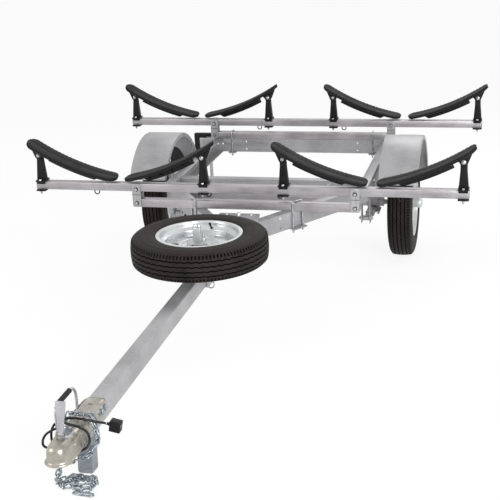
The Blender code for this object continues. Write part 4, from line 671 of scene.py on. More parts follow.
# bolts through the end brackets, at the gussets, on the spring hangers and on the front channel
bracket = {"washer": mm((0, 0), (10, 0), (10, 1), (9.5, 1.4), (0, 1.4)), "boltUp": 0.010, "seamDown": 0.0150}
bolts, washersAndShadowStrips = [], []
for end, word in corners:
    low, high = nodeBox(f"bar_bracket_{end}_{word}")
    loadLow, x = nodeBox(f"load_bar_{end}")[0].z, (low.x + high.x) / 2
    for z in (nodeMiddle(f"lower_bar_{end}").z, loadLow + bracket["boltUp"]):
        washersAndShadowStrips.append((turned(bracket["washer"], 28), at(x, low.y, z) @ turnBack))
        bolts.append((hexBolt(0.0118, 0.0052, 0.0072), at(x, low.y - 0.0013, z) @ turnBack))
        bolts.append((lockNut(0.0127, 0.0075, 0.0039, 0.0045), at(x, high.y, z) @ turnY))
    seam = loadLow - bracket["seamDown"]  # the joint where the bracket's upper half laps the lower one; a black strip there is painted shadow
    shadowStripLow, shadowStripHigh = (low.x - 0.0004, low.y - 0.0005, seam - 0.0011), (high.x + 0.0004, low.y + 0.0030, seam + 0.0011)
    # a thin black rubber strip across the bracket's face and sides: painted shadow in the joint
    washersAndShadowStrips.append((block(shadowStripLow, shadowStripHigh, 0.0003), Matrix()))
low, high = nodeBox("gusset_plates")
plateTop = nodeBox("frame_rail_right")[1].z + 0.0053
for x, y in ((0, high.y - 0.029), (high.x / 2, high.y - 0.1395), (-high.x / 2, high.y - 0.1395), (0, low.y + 0.0517)):
    bolts.append((hexBolt(0.0190, 0.0082, 0.0120), at(x, y, plateTop)))
hanger = {"outer": 0.4995, "inner": 0.4555, "y": 0.290, "up": 0.002}
for side in (-1, 1):
    for y in (-hanger["y"], hanger["y"]):
        bolts.append((hexBolt(0.0165, 0.0070, 0.0110), at(side * hanger["outer"], y, hanger["up"]) @ facing(side)))
        bolts.append((lockNut(0.0165, 0.0085, 0.0050, 0.0035), at(side * hanger["inner"], y, hanger["up"]) @ facing(-side)))
channelBolt = {"x": 0.297, "z": 0.172, "y": nodeBox("front_cross_channel")[0].y}
for side in (-1, 1):
    place = at(side * channelBolt["x"], channelBolt["y"], channelBolt["z"])
    bolts.append((hexBolt(0.0127, 0.0055, 0.0085), place @ turnBack))
assembled("frameBolts", bolts, "frame", "brightZinc")
assembled("bracketWashers", washersAndShadowStrips, "frame", "padRubber")

# U-bolts that hold the lower bars on the frame: bent rod, clamp plate, nuts and thread
uBolt = {"radius": 0.0040, "plateTop": 0.1117, "plate": 0.005, "nut": 0.0127, "bend": 0.008, "turns": 15, "pitch": 0.00125,
         "front": (0.06032, 0.5738), "rear": (0.05425, 0)}  # leg spacing and turn at each end


def archPoints(half, bend, low, high, steps=8):  # up one leg, round two bends and down the other
    left = []
    for step in range(steps + 1):
        angle = pi - step * pi / 2 / steps
        left.append((-half + bend + bend * cos(angle), high - bend + bend * sin(angle)))
    return [(-half, low)] + left + [(-a, b) for a, b in reversed(left)] + [(half, low)]


for end, word in corners:
    node, side, (spread, turn) = f"u_bolt_{end}_{word}", -1 if word == "left" else 1, uBolt[end]
    low, high = nodeBox(node)
    place = at((low.x + high.x) / 2, (low.y + high.y) / 2, 0) @ Matrix.Rotation(-side * turn, 4, "Z")
    half, radius, under = spread / 2, uBolt["radius"], uBolt["plateTop"] - uBolt["plate"]
    arch = archPoints(half, uBolt["bend"], low.z + 0.002, high.z - radius)
    parts = [(rod([(0, a, z) for a, z in arch], radius, 4), place)]
    thread = [(0, 0.020)]
    for step in range(uBolt["turns"]):
        thread += [(radius - 0.0002, 0.0196 - step * uBolt["pitch"]), (radius + 0.0005, 0.0190 - step * uBolt["pitch"])]
    thread += [(0.0032, 0.0003), (0, 0.0)]
    for leg in (-half, half):
        parts.append((turned(thread, 16), place @ at(0, leg, low.z)))
        parts.append((hexBolt(uBolt["nut"], 0.0070, 0.0078), place @ at(0, leg, under) @ turnOver))
    assembled(node + "_rod", parts, "frame", "brightZinc", [node])
    plate = sheet(oblong(0.0215, half + 0.0115, 0.006), uBolt["plate"], 0.0006)
    assembled(node + "_plate", [(plate, place @ at(0, 0, uBolt["plateTop"] - uBolt["plate"] / 2))], "frame", "galvanisedSteel")
print("frame made")

# Leaf springs: front and rear halves arched between the frame's hangers and the axle
spring = {"x": 0.4775, "half": 0.290, "leaf": 0.006, "width": 0.036, "reach": (0.290, 0.203, 0.116), "seat": -0.021,
          "eye": 0.002, "clip": 0.150, "bolt": 0.0245}
eyeProfile = mm((6, -18), (11.8, -18), (12, -17.4), (12, 17.4), (11.8, 18), (6, 18), (6, -18))


def springTop(y, depth=0.0):
    rise = spring["eye"] + spring["leaf"] / 2 - spring["seat"]
    return spring["seat"] + rise * (y / spring["half"]) ** 2 - depth


for side, word in ((-1, "left"), (1, "right")):
    x = side * spring["x"]
    for end, sign in (("Front", -1), ("Rear", 1)):
        parts = []
        for leaf, reach in enumerate(spring["reach"]):
            ys = [0.0006 + (reach - 0.0006) * step / 20 for step in range(21)]
            upper = [(sign * y, springTop(y, leaf * spring["leaf"] + 0.0002)) for y in ys]
            under = [(sign * y, springTop(y, (leaf + 1) * spring["leaf"] - 0.0002)) for y in ys]
            parts.append((sheet(upper + under[::-1], spring["width"] - 0.0006 * leaf, 0.0009), at(x, 0, 0) @ layUpright))
        parts.append((turned(eyeProfile, 40), at(x, sign * spring["half"], spring["eye"]) @ turnX))
        clip = at(x, sign * spring["clip"], springTop(spring["clip"]))
        for near in (-0.0195, 0.0195):  # rebound clip round the leaves
            parts.append((block((near - 0.0012, -0.008, -0.0150), (near + 0.0012, 0.008, 0.0065), 0.0005), clip))
        parts.append((block((-0.0205, -0.008, -0.0152), (0.0205, 0.008, -0.0128), 0.0005), clip))
        parts.append((rod([(-0.024, 0, 0.0040), (0.024, 0, 0.0040)], 0.0026, 3), clip))
        half = assembled(word + "Spring" + end, parts, None, "barSteel", ["leaf_spring_" + word], smooth=30)
        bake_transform(half)
nuts = []
spindleWasher = mm((12.8, -4), (29, -4), (29.6, -3), (29.6, 3), (29, 4), (12.8, 4), (12.8, -4))
for side in (-1, 1):
    for near in (-1, 1):
        for y in (-spring["bolt"], spring["bolt"]):
            place = at(side * spring["x"] + near * spring["bolt"], y, -0.0463)
            nuts.append((lockNut(0.0140, 0.0080, 0.0043, 0.0030), place @ turnOver))
    nuts.append((turned(spindleWasher, 40), at(side * 0.5770, 0, 0) @ turnX))
assembled("springNuts", nuts, "axle", "brightZinc")
print("springs made")

# Spare carrier's hardware: post with its clamp, three studs with nuts, and a lashing ring beside its strap
middle = spare["middle"]
parts = []
for index in spare["studs"]:
    stud = at(0, middle.y, middle.z) @ boltSeat(index, 0.0043, spare["turn"])
    parts.append((lockNut(0.0190, 0.0120, 0.0058, 0.0240), stud))
ring = [(0.034 + 0.013 * cos(a), -1.512 + 0.004 * sin(a), 0.0965 + 0.013 * sin(a)) for a in ringAngles(28)]
parts.append((rod(ring, 0.0026, 3, True), Matrix()))
for side in (1, -1):
    parts += [(hexBolt(0.0127, 0.0060, 0.0080), at(side * 0.0337, y, 0.1350) @ facing(side)) for y in (-1.540, -1.498)]
assembled("spareBolts", parts, "frame", "brightZinc")
parts = [
    (block((-0.031, 0.010, -0.004), (0.001, 0.030, 0.072), 0.004, 3), at(0, middle.y, middle.z)),
    (block((-0.038, 0.004, 0.0040), (0.008, 0.038, 0.0085), 0.0012), at(0, middle.y, middle.z)),
]
assembled("sparePost", parts, "frame", "wheelSteel")
parts = [(hexBolt(0.0130, 0.0085, 0.0082), at(x, middle.y + 0.020, middle.z + 0.0718)) for x in (-0.0240, -0.0060)]
assembled("sparePostBolts", parts, "frame", "brightZinc")
print("spare carrier made")

# Coupler: pressed shell over the ball, with its flared lip, collar, ears and bolts
flange = mm((39.5, 122.2), (40, 125), (39.2, 128), (36.2, 129))
neck = mm((29.8, 122.2), (29.8, 125), (29.8, 128), (29.8, 129), (29.8, 131.5), (29.8, 138), (29.8, 150),
          (29.8, 166.8), (28, 171.2), (12.5, 171.6), (0, 171.6))
coupler = {"wall": 0.003, "nose": 16, "sections": [  # along Y: (half width, height) from the lip up to the crown
    (-2.951, flange + mm((34, 131.5), (33.3, 138), (33, 150), (30.5, 164), (24, 174.5), (12.5, 179.3), (0, 180.2))),
    (-2.928, flange + mm((34, 131.5), (33.3, 138), (32.8, 150), (30.3, 165.2), (24.3, 176.2), (12.5, 179.9), (0, 180.4))),
    (-2.905, flange + mm((34, 131.5), (33.2, 138), (32.2, 150), (30, 166), (24.5, 177), (12.5, 180), (0, 180.2))),
    (-2.880, flange + mm((33.6, 131.5), (32.5, 138), (31.3, 150), (29.5, 165.2), (24.5, 175.5), (12.5, 178.4), (0, 178.7))),
    (-2.855, flange + mm((33, 131.5), (31.5, 138), (30.4, 150), (29, 164.2), (24.7, 173.5), (12.5, 176), (0, 176.3))),
    (-2.820, mm((38.6, 122.2), (39.1, 125), (38.3, 128), (35, 129), (31.8, 131.5), (30.3, 138), (29.9, 150), (29.2, 164),
                (25.8, 171.6), (12.5, 173.2), (0, 173.3))),
    (-2.800, mm((31, 122.2), (31.4, 125), (31.1, 128), (30.6, 129), (30, 131.5), (29.8, 138), (29.8, 150), (29.8, 164),
                (26.8, 170.9), (12.5, 171.8), (0, 171.8))),
    (-2.730, neck),
    (-2.655, neck),
]}


def skin(rows):  # a grid of faces laid over rows of points
    shape = bmesh.new()
    across = len(rows[0])
    bmesh.ops.create_grid(shape, x_segments=across - 1, y_segments=len(rows) - 1, size=1)
    shape.verts.ensure_lookup_table()
    for index, vert in enumerate(shape.verts):
        vert.co = rows[index // across][index % across]
    bmesh.ops.remove_doubles(shape, verts=shape.verts, dist=1e-5)
    bmesh.ops.dissolve_degenerate(shape, dist=1e-6, edges=shape.edges)
    return shape


sections = coupler["sections"]
rows = [[(d, y, z) for d, z in section] for y, section in sections[:0:-1]]
for step in range(coupler["nose"] + 1):  # round the nose
    angle = pi * step / coupler["nose"]
    rows.append([(d * cos(angle), sections[0][0] - d * sin(angle), z) for d, z in sections[0][1]])
rows += [[(-d, y, z) for d, z in section] for y, section in sections[1:]]
build = skin(rows)
faceUp(build)
shell = finished("couplerShell", build, "frame", "pewterZinc", ["coupler_body"], smooth=50, turnRound=False)
thick = shell.modifiers.new("wall", "SOLIDIFY")
thick.thickness, thick.offset = coupler["wall"], -1
softer = shell.modifiers.new("softer", "SUBSURF")
softer.levels = softer.render_levels = 1

well = {"wide": 0.0245, "long": 0.0340, "rim": 0.0030, "y": -2.9000, "low": 0.1600, "top": 0.1848, "floor": 0.1816}
outer = [(well["wide"] * cos(a), (well["long"] - 0.006 * (sin(a) < 0)) * sin(a)) for a in ringAngles(48)]
inner = [(x * (1 - well["rim"] / well["wide"]), y * (1 - well["rim"] / well["long"])) for x, y in outer]
collar = carved(sheet(outer, well["top"] - well["low"], 0), [sheet(inner, 0.1, 0)])
bevelled(collar, [e for e in sharpEdges(collar, 50) if all(v.co.z > 0 for v in e.verts)], 0.0011, 3, clamp=True)
# the collar takes the paler bright zinc, a painted highlight along the raised rim
assembled("wellRim", [(collar, at(0, well["y"], (well["top"] + well["low"]) / 2))], "frame", "brightZinc", smooth=40)

leverPin = toTrailer @ Vector(joints["latch_lever_swing"]["pos_m"])
ear = {"outline": mm((-8.5, -14), (8.5, -14), (7.5, 7.5), (-7.5, 7.5)), "round": [0.001, 0.001, 0.006, 0.006],
       "x": 0.0112, "y": -2.922, "z": 0.190}
parts = []
for side in (-1, 1):  # ears that carry the lever's pin
    cheek = sheet(rounded(ear["outline"], ear["round"]), 0.0034, 0.0006)
    parts.append((cheek, at(side * ear["x"], ear["y"], ear["z"]) @ layUpright))
for side in (-1, 1):  # an oval boss pressed out of each flank
    boss = turned(mm((0, 2), (3, 1.8), (5.2, 1), (6.4, -1), (0, -1)), 28)
    bmesh.ops.scale(boss, vec=(1.6, 1, 1), verts=boss.verts)
    parts.append((boss, at(side * 0.0326, -2.905, 0.1480) @ facing(side)))
assembled("leverEars", parts, "frame", "pewterZinc", smooth=40)
wellFloor = sheet([(x * 1.02, y * 1.02) for x, y in inner], 0.0030, 0)
assembled("wellFloor", [(wellFloor, at(0, well["y"], well["floor"] - 0.0015))], "frame", "chainSteel")
parts = []
for y in (-2.673, -2.703):
    parts.append((lockNut(0.0165, 0.0080, 0.0050, 0.0045), at(-0.0298, y, 0.1480) @ facing(-1)))
for y in (-2.673, -2.703):
    parts.append((hexBolt(0.0165, 0.0070, 0.0105), at(0.0298, y, 0.1480) @ facing(1)))
parts.append((plug(0.0030, 0.0290, 20), at(0, ear["y"], ear["z"]) @ turnX))
parts.append((plug(0.0052, 0.0020, 20), at(0.0150, ear["y"], ear["z"]) @ turnX))
assembled("couplerBolts", parts, "frame", "chainSteel")
# a thin black block lying on the neck: painted shade for the slot's opening
finished("neckSlot", block((-0.0075, -2.7060, 0.1712), (0.0060, -2.7020, 0.17205), 0.0003), "frame", "mouldedNylon")

clampTop = 0.1722  # cut off under the shell, with room for its lift
build = nodeShape("ball_clamp")
bmesh.ops.bisect_plane(build, geom=build.verts[:] + build.edges[:] + build.faces[:],
                       plane_co=(0, 0, clampTop), plane_no=(0, 0, 1), clear_outer=True)
bmesh.ops.holes_fill(build, edges=[e for e in build.edges if e.is_boundary], sides=0)
bmesh.ops.dissolve_limit(build, angle_limit=radians(1), verts=build.verts, edges=build.edges)
bevelled(build, sharpEdges(build, 30), 0.0012, clamp=True)
finished("ballClamp", build, "ball_clamp", "brightZinc", ["ball_clamp"], turnRound=False)

# Latch lever: pressed strip with folded sides, on a cross pin
lever = {"base": 0.0082, "top": 0.0152, "height": 0.092, "thick": 0.0060, "wall": 0.0024, "lean": 12}
base, top, height = lever["base"], lever["top"], lever["height"]
outline = rounded([
    (-base, 0.001), (base, 0.001), (base + 0.0012, 0.030), (top, height), (-top + 0.0015, height), (-top, height - 0.006), (-base - 0.0012, 0.030),
], [0.002, 0.002, 0.010, 0.0025, 0.0008, 0.002, 0.010])
hollow = rounded([(-base + 0.0018, 0.012), (base - 0.0018, 0.012), (top - 0.0024, height - 0.004), (-top + 0.0024, height - 0.004)], 0.002)
recess, hole = sheet(hollow, lever["thick"], 0), plug(0.0021, 0.03, 20)
recess.transform(at(0, 0, -lever["wall"]))
hole.transform(at(0, height - 0.012, 0))
strip = carved(sheet(outline, lever["thick"], 0), [recess, hole])
bevelled(strip, sharpEdges(strip, 50), 0.0006, clamp=True)
standUp = at(*leverPin) @ Matrix.Rotation(pi / 2 - radians(lever["lean"]), 4, "X")
barrel = mm((3.1, -7.8), (5.2, -7.8), (5.5, -7.2), (5.5, 7.2), (5.2, 7.8), (3.1, 7.8), (3.1, -7.8))
parts = [(strip, standUp), (turned(barrel, 32), at(*leverPin) @ turnX), (plug(0.0022, 0.0070, 16), standUp @ at(-0.0150, 0.0720, 0) @ turnX)]
assembled("leverStrip", parts, "latch_lever", "leverZinc", ["latch_lever"], turnRound=False)

# Lift handle: bent rod with flattened ends and a ribbed grip
handle = {"x": -0.0346, "front": -2.868, "rear": -2.722, "bends": (0.022, 0.038), "low": 0.148, "high": 0.242,
          "radius": 0.0045, "grip": (-2.848, -2.762), "tab": (-0.0345, -0.0303), "ribs": 12}
middleY, half = (handle["front"] + handle["rear"]) / 2, (handle["rear"] - handle["front"]) / 2
frontBend, rearBend = (archPoints(half, bend, handle["low"], handle["high"], 12) for bend in handle["bends"])
parts = [(rod([(handle["x"], middleY + a, z) for a, z in frontBend[:14] + rearBend[14:]], handle["radius"], 4), Matrix())]
for y in (handle["front"], handle["rear"]):
    (x0, x1), z = handle["tab"], handle["low"]
    parts.append((block((x0, y - 0.0085, z - 0.0060), (x1, y + 0.0085, z + 0.0150), 0.0015, 3), Matrix()))
    parts.append((hexBolt(0.0110, 0.0045, 0.0070), at(x0, y, z + 0.0020) @ facing(-1)))
assembled("handleRod", parts, "frame", "brightZinc", ["lift_handle"])
gripMiddle, gripHalf = sum(handle["grip"]) / 2, (handle["grip"][1] - handle["grip"][0]) / 2
profile = [(0.0050, -gripHalf), (0.0074, 0.0003 - gripHalf), (0.0080, 0.0015 - gripHalf)]
for step in range(handle["ribs"]):
    z = 0.0080 - gripHalf + step * 0.0064
    profile += [(0.0078, z - 0.0020), (0.0078, z - 0.0008), (0.0071, z), (0.0071, z + 0.0012), (0.0078, z + 0.0020)]
profile += [(0.0080, gripHalf - 0.0015), (0.0074, gripHalf - 0.0003), (0.0050, gripHalf), (0.0050, -gripHalf)]
assembled("ribbedGrip", [(turned(profile, 40), at(handle["x"], gripMiddle, handle["high"]) @ turnY)], "frame", "mouldedNylon", ["handle_grip"])

# Foot: upright square leg with a closed end and a weld groove round it, standing level on the ground
foot = {"half": 0.024, "deep": 0.040, "high": 0.118, "groove": (0.0165, 0.0180), "cut": 0.0009}
footY = min(v.co.y for v in frame["nodes"]["tongue_foot"].data.vertices if v.co.z < 0.02)
half, deep = foot["half"], foot["deep"]
outline = rounded([(-half, 0.0), (half, 0.0), (half, foot["high"]), (-half, foot["high"])], [0.010, 0.010, 0.0005, 0.0005], 6)
leg = sheet(outline, deep, 0.0022, 3)
leg.transform(at(0, footY + deep / 2, 0) @ standAcross)
band = block((-0.03, footY - 0.01, foot["groove"][0]), (0.03, footY + 0.05, foot["groove"][1]), 0)
core = block((-half + foot["cut"], footY + foot["cut"], 0.01), (half - foot["cut"], footY + deep - foot["cut"], 0.03), 0)
assembled("footLeg", [(carved(leg, [carved(band, [core])]), toTrailer)], "frame", "agedZinc", ["tongue_foot"], turnRound=False)
print("coupler end made")

# Safety chains: welded links along the two CAD routes
link = {"wire": 0.0027, "half": 0.0144, "wide": 0.0069, "pitch": 0.0230}


def linkShape(half, wide, wire, sides=2):
    path = [(half - wide + wide * cos(a), wide * sin(a), 0) for a in [-pi / 2 + pi * step / 6 for step in range(7)]]
    path += [(-x, -y, 0) for x, y, _ in path]
    return rod(path, wire, sides, True)


def chainAlong(build, route, *rolls):  # links along a route, turned in degrees by each roll in turn
    line = smoothLine(route, link["pitch"] / 8)
    last, count = len(line) - 1, int(lengthOf(line) / link["pitch"])
    for index in range(count):
        place = (index + 0.5) / count * last
        low = int(place)
        point = line[low].lerp(line[min(low + 1, last)], place - low)
        along = (line[min(low + 5, last)] - line[max(low - 5, 0)]).normalized()
        up = Vector((0, 0, 1)) if abs(along.z) < 0.9 else Vector((0, 1, 0))
        across = up.cross(along).normalized()
        turnTo = Matrix((along, across, along.cross(across))).transposed().to_4x4()
        roll = Matrix.Rotation(radians(rolls[index % 2]), 4, "X")
        put(build, linkShape(link["half"], link["wide"], link["wire"]), Matrix.Translation(point) @ turnTo @ roll)


def onGround(*rows):  # points in mm from the hub line, on the level ground
    return [toTrailer @ Vector((x, hubPoint.y + y, z)) for x, y, z in mm(*rows)]


wrapped = mm(
    (-38.8, -2752, 100), (-38.8, -2768, 130), (-38.8, -2780, 160), (-35.2, -2785, 178), (-19, -2788, 182.5), (4, -2788, 183.5),
    (20, -2786, 182.5), (35.5, -2782, 178), (41.8, -2780, 158), (50.8, -2792, 125), (51.8, -2815, 102), (44.8, -2850, 94),
    (32, -2892, 98), (18, -2930, 112.5),
)
doubled = mm(  # the slack end, doubled back down the right flank
    (18, -2796.5, 183.5), (33, -2800, 180), (44, -2802, 165), (52, -2806, 145), (59, -2816, 127), (60, -2833, 112),
    (54, -2856, 101), (44, -2874, 96),
)
heap = onGround(
    (-6, -2917, 112.5), (-10, -2914, 90), (-24, -2905, 62), (-36, -2890, 34), (-44, -2868, 14), (-40, -2838, 9), (-14, -2818, 9),
    (16, -2812, 9), (46, -2820, 9), (60, -2846, 9), (46, -2868, 9), (20, -2874, 9), (-8, -2866, 19), (-6, -2846, 24),
    (22, -2846, 22), (48, -2852, 20), (64, -2872, 12), (46, -2892, 9), (14, -2893, 9),
)
fold = onGround(  # the heap's inner turn, lying across the middle of the outer one
    (-34, -2880, 9), (-22, -2852, 9), (2, -2834, 14), (30, -2831, 15.5), (50, -2838, 16), (40, -2862, 20), (12, -2860, 23),
    (-20, -2862, 20), (-24, -2884, 12), (2, -2890, 17), (30, -2884, 19),
)
build = bmesh.new()
chainAlong(build, wrapped, 25, 115)
chainAlong(build, doubled, 70, -20)
put(build, rod([(-0.0388, -2.747 + 0.0085 * cos(a), 0.0950 + 0.0085 * sin(a)) for a in ringAngles(24)], 0.0026, 3, True))
put(build, rod(mm((-38.8, -2747, 105), (-38.8, -2747, 115), (-33, -2747, 121), (-26.2, -2747, 121.5)), 0.0026, 3))
finished("rightSafetyChain", build, "frame", "chainSteel", ["safety_chain_right"], smooth=50)
build = bmesh.new()
chainAlong(build, heap, 38, -52)
chainAlong(build, fold, 30, -60)
endLink = toTrailer @ at(0.046, hubPoint.y - 2.906, 0.0035) @ Matrix.Rotation(radians(-6), 4, "Z")
put(build, linkShape(0.0310, 0.0075, 0.0030, 3), endLink)
finished("leftSafetyChain", build, "frame", "chainSteel", ["safety_chain_left"], smooth=50)
print("chains made")

# Tail lights: moulded housing, ribbed lens and bracket
light = {"inner": 0.530, "outer": 0.640, "bracket": (0.510, 0.606), "screw": mm((0, 0), (3, 0), (3, 0.8), (2.2, 1.6), (0, 1.8))}
for side, word in ((-1, "left"), (1, "right")):
    low, high = nodeBox("tail_light_" + word)
    inner, outer, face = light["inner"], light["outer"], high.y
    housing = blockOn(side, (inner, face - 0.0450, low.z), (outer, face - 0.0200, high.z), 0.0060, 4)
    finished(word + "LightHousing", housing, "frame", "mouldedNylon", ["tail_light_" + word])
    lens = [
        (blockOn(side, (inner + 0.0025, face - 0.0215, low.z + 0.0025), (outer - 0.0025, face - 0.0030, high.z - 0.0025), 0.0060, 5), Matrix()),
        (blockOn(side, (inner + 0.016, face - 0.0060, low.z + 0.016), (outer - 0.016, face, high.z - 0.016), 0.0028, 4), Matrix()),
    ]
    assembled(word + "LightLens", lens, "frame", "redAcrylic")
    plate = blockOn(side, (light["bracket"][0], face - 0.0484, 0.120), (light["bracket"][1], face - 0.0446, 0.180), 0.0008)
    finished(word + "LightBracket", plate, "frame", "galvanisedSteel")
    screws = [(hexBolt(), at(side * 0.5220, face - 0.0446, up) @ turnY) for up in (0.1300, 0.1700)]
    x0, x1 = sorted((side * inner, side * outer))
    for x, z in ((x0 + 0.010, low.z + 0.010), (x1 - 0.010, high.z - 0.010)):
        screws.append((turned(light["screw"], 20), at(x, face - 0.0031, z) @ turnY))
    assembled(word + "LightScrews", screws, "frame", "brightZinc")
print("lights made")

# Carriers: posts clamped on the load bars, and padded wings that tilt on them; 0 is the pivot at the post's top
post = {"barTop": -0.1236, "barLow": -0.1623, "plate": 0.0055, "neck": -0.045}
wing = {"x": -0.3715, "z": -0.107, "length": 0.460, "low": radians(10), "high": radians(34), "half": 0.060, "round": 0.036,
        "crowd": 0.06}
wingSweep = wing["high"] - wing["low"]
wingRadius = wing["length"] / wingSweep


def alongWing(share, depth):  # a point on the wing's curve, depth below its middle line
    angle = wing["low"] + wingSweep * share
    return (
        wing["x"] + wingRadius * (sin(angle) - sin(wing["low"])) + depth * sin(angle),
        wing["z"] + wingRadius * (cos(wing["low"]) - cos(angle)) - depth * cos(angle),
    )


def crowded(t):  # shares of the wing's length, closer together at both ends
    crowd = wing["crowd"]
    if crowd < t < 1 - crowd:
        return t
    if t <= crowd:
        return crowd * sin(pi / 2 * t / crowd) ** 2
    return 1 - crowd * sin(pi / 2 * (1 - t) / crowd) ** 2


def wingSkin(section, margin, steps, ripple=0.0):  # section: (share of half width, depth) round the piece
    rows = []
    middleDepth = sum(depth for _, depth in section) / len(section)
    for step in range(steps + 1):
        share = margin / wing["length"] + crowded(step / steps) * (1 - 2 * margin / wing["length"])
        run = min(share, 1 - share) * wing["length"] - margin
        half = (wing["half"] - margin) * max(0.04, 1 - (1 - min(1, run / wing["round"])) ** 2) ** 0.5
        squeeze = min(1, 0.35 + run / 0.012)
        dip = ripple * (1 if step % 4 == 0 and 0.08 < share < 0.92 else 0)
        row = []
        for across, depth in section:
            x, z = alongWing(share, middleDepth + (depth - middleDepth) * squeeze + (dip if depth < middleDepth else 0))
            row.append((x, across * half, z))
        rows.append(row + row[:1])
    shape = skin(rows)
    bmesh.ops.holes_fill(shape, edges=[e for e in shape.edges if e.is_boundary], sides=0)
    return shape


def bothSides(half):  # a half section and its mirror
    return half + [(-across, depth) for across, depth in half[::-1]]


padTop = [(1.0, -0.0030), (0.985, -0.0058), (0.94, -0.0078), (0.80, -0.0086), (0.50, -0.0090), (0.20, -0.0086), (0.08, -0.0066)]
padUnder = [(-1.0, 0.0008), (-0.97, 0.0022), (0.97, 0.0022), (1.0, 0.0008)]
trayHalf = [(1.0, 0.0018), (1.0, 0.0042), (0.95, 0.0070), (0.86, 0.0082), (0.62, 0.0086), (0.58, 0.0066), (0.30, 0.0066), (0.26, 0.0090)]
padShape, trayShape = wingSkin(bothSides(padTop) + padUnder, 0.0006, 96, 0.0013), wingSkin(bothSides(trayHalf), 0.0035, 60)
webTop = [alongWing(0.17 + 0.56 * step / 12, 0.0075) for step in range(13)]
webUnder = [alongWing(0.23 + 0.50 * step / 12, 0.0330) for step in range(13)]
put(trayShape, sheet(webTop + webUnder[::-1], 0.012, 0.0016), standAcross)
for share in (0.26, 0.38, 0.50, 0.62, 0.72):  # stiffening ribs between web and tray
    x, z = alongWing(share, 0.0080)
    rib = sheet(mm((-44, 0), (44, 0), (10, -15), (-10, -15)), 0.0030, 0.0008)
    put(trayShape, rib, at(x, 0, z) @ Matrix.Rotation(-(wing["low"] + wingSweep * share), 4, "Y") @ layUpright)
seatX, seatZ = alongWing(0.87, 0.0080)
lobe = [(0.018 * cos(a), 0.018 * sin(a)) for a in [-pi / 12 - pi * 5 / 6 * step / 10 for step in range(11)]]
earOutline = [(seatX - 0.040, seatZ - 0.013), (seatX + 0.030, seatZ + 0.014)] + lobe
for side in (-1, 1):
    put(trayShape, sheet(earOutline[::-1], 0.0050, 0.0010), at(0, side * 0.0181, 0) @ standAcross)

knuckle = mm((5.7, -14.9), (13.5, -14.9), (15, -13.8), (15, -4.5), (14.2, -3.5), (14.2, 3.5),
             (15, 4.5), (15, 13.8), (13.5, 14.9), (5.7, 14.9), (5.7, -14.9))
postShape, boltShape, pinShape = bmesh.new(), bmesh.new(), bmesh.new()
put(postShape, turned(knuckle, 40), turnY)
stem = block((-0.0125, -0.0130, post["barTop"] + 0.003), (0.0125, 0.0130, -0.0075), 0.0030, 3)
for vert in stem.verts:  # the stem widens towards its foot
    widen = 1 + 0.75 * max(0.0, min(1.0, (post["neck"] - vert.co.z) / (post["neck"] - post["barTop"])))
    vert.co.x *= widen
    vert.co.y *= 1 + (widen - 1) * 0.45
put(postShape, stem)
for y in (-0.0060, 0.0060):  # ribs down the stem
    put(postShape, block((-0.0150, y - 0.0016, post["barTop"] + 0.010), (0.0150, y + 0.0016, -0.016), 0.0012))
for z in (post["barTop"] + post["plate"] / 2, post["barLow"] - post["plate"] / 2):
    put(postShape, sheet(oblong(0.024, 0.033, 0.007), post["plate"], 0.0012, 3), at(0, 0, z))
for y in (-0.0215, 0.0215):
    put(postShape, block((-0.020, y - 0.0018, post["barTop"] - 0.012), (0.020, y + 0.0018, post["barTop"] + 0.004), 0.0010))
for y in (-0.0260, 0.0260):
    put(boltShape, hexBolt(), at(0, y, post["barTop"] + post["plate"]))
    put(boltShape, lockNut(0.0110, 0.0065, 0.0035, 0.0050), at(0, y, post["barLow"] - post["plate"]) @ turnOver)
pinHead = mm((0, 0), (9.6, 0), (9.6, 1.2), (7.8, 1.6), (7.4, 3.4), (5, 5), (0, 5.6))
put(pinShape, plug(0.0049, 0.0400, 20), turnY)
put(pinShape, turned(pinHead, 32), at(0, -0.0206, 0) @ turnBack)
put(pinShape, lockNut(0.0127, 0.0070, 0.0045, 0.0015), at(0, 0.0206, 0) @ turnY)
for shape in (padShape, trayShape, postShape):
    bmesh.ops.recalc_face_normals(shape, faces=shape.faces)

for name, joint in joints.items():
    if not name.startswith("wing_"):
        continue
    body = joint["child"]
    place = at(*(toTrailer @ Vector(joint["pos_m"]))) @ Matrix.Rotation(0 if joint["axis"][1] > 0 else pi, 4, "Z")
    words = "".join(word.title() for word in body.split("_")[1:])
    for label, shape, rides, finish, nodes in (
        ("pad", padShape, body, "padRubber", ["carrier_" + body]),
        ("tray", trayShape, body, "mouldedNylon", ["carrier_" + body]),
        ("pin", pinShape, body, "brightZinc", []),
        ("post", postShape, "frame", "mouldedNylon", ["carrier_post_" + body[5:]]),
        ("clampBolts", boltShape, "frame", "brightZinc", []),
    ):
        piece = assembled(label + words, [(shape.copy(), place)], rides, finish, nodes, smooth=38, turnRound=False)
for shape in (padShape, trayShape, pinShape, postShape, boltShape):
    shape.free()
print("carriers made")

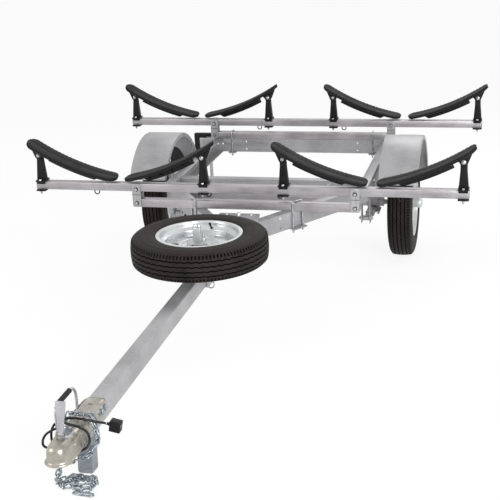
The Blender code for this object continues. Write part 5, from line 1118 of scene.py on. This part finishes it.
# Small parts: grommet where the cable leaves the tongue, and tie rings under the load bars
grommet = mm((3.6, 0.6), (8, 0.6), (9.5, 1.4), (9.5, 2.6), (7.8, 4), (5, 4.4), (3.6, 4.4), (3.6, 0.6))
assembled("cableGrommet", [(turned(grommet, 32), at(-0.0256, -2.600, 0.1350) @ facing(-1))], "frame", "mouldedNylon")
tie = {"reach": 0.0115, "wire": 0.0026, "drop": 0.0095, "boss": mm((0, 0), (8.5, 0), (8.5, 1.8), (6, 3.4), (0, 3.6)),
       "places": [(-0.165, "front"), (0.165, "front"), (-0.700, "front"), (0.700, "front"), (-0.240, "rear"), (0.240, "rear")]}
parts = []
for x, end in tie["places"]:
    bottom, y = nodeBox("load_bar_" + end)[0].z, nodeMiddle("load_bar_" + end).y
    ring = [(x + tie["reach"] * cos(a), y, bottom - tie["drop"] + tie["reach"] * sin(a)) for a in ringAngles(32)]
    parts.append((rod(ring, tie["wire"], 3, True), Matrix()))
    parts.append((turned(tie["boss"], 28), at(x, y, bottom) @ turnOver))
assembled("tieRings", parts, "frame", "mouldedNylon")
print("small parts made")

# Floor and light: the background is white to the camera, in metal and through the lens
stageOf = {"floor": 150.0, "glow": 0.8, "strength": 1.08, "world": 0.5}


def seenDirectly(tree):  # 1 for camera, glossy and transmission rays
    ray = addNode(tree, "LightPath")
    seen = addNode(tree, "Math", {0: ray.outputs["Is Camera Ray"], 1: ray.outputs["Is Glossy Ray"]}, operation="MAXIMUM")
    return addNode(tree, "Math", {0: seen.outputs[0], 1: ray.outputs["Is Transmission Ray"]}, operation="MAXIMUM").outputs[0]


material, tree, shader, _ = newMaterial("paleFloor")
shader.inputs["Base Color"].default_value = linear("#f4f4f4")
shader.inputs["Roughness"].default_value = 0.9
shader.inputs["Specular IOR Level"].default_value = 0.0
glow = addNode(tree, "Emission", {"Color": (1, 1, 1, 1), "Strength": stageOf["strength"]})
share = addNode(tree, "Math", {0: seenDirectly(tree), 1: stageOf["glow"]}, operation="MULTIPLY")
mix = addNode(tree, "MixShader", {0: share.outputs[0], 1: shader.outputs[0], 2: glow.outputs[0]})
tree.links.new(mix.outputs[0], tree.nodes["Material Output"].inputs["Surface"])
build = bmesh.new()
bmesh.ops.create_grid(build, x_segments=2, y_segments=2, size=stageOf["floor"])
floorMesh = bpy.data.meshes.new("floor")
build.to_mesh(floorMesh)
build.free()
floorMesh.materials.append(material)
addObject("floor", floorMesh)

world = bpy.data.worlds.new("studio")
bpy.context.scene.world = world
world.use_nodes = True
tree = world.node_tree
background = tree.nodes["Background"]
level = addNode(tree, "MapRange", {"Value": seenDirectly(tree), "To Min": stageOf["world"], "To Max": 1.0})
background.inputs["Color"].default_value = (1, 1, 1, 1)
tree.links.new(level.outputs[0], background.inputs["Strength"])
lamps = [  # name, place, width in metres, watts
    ("keyLamp", (4.4, -5.6, 2.2), 3.5, 330),
    ("fillLamp", (-4.6, -4.6, 2.4), 3.0, 90),
    ("backLamp", (0.5, 4.5, 4.2), 3.0, 45),
]
for name, place, size, power in lamps:
    lamp = bpy.data.lights.new(name, "AREA")
    lamp.shape, lamp.size, lamp.energy = "DISK", size, power
    aim = (Vector((0, 0, 0.3)) - Vector(place)).to_track_quat("-Z", "Y").to_matrix().to_4x4()
    addObject(name, lamp).matrix_world = Matrix.Translation(place) @ aim

print("scene ready")
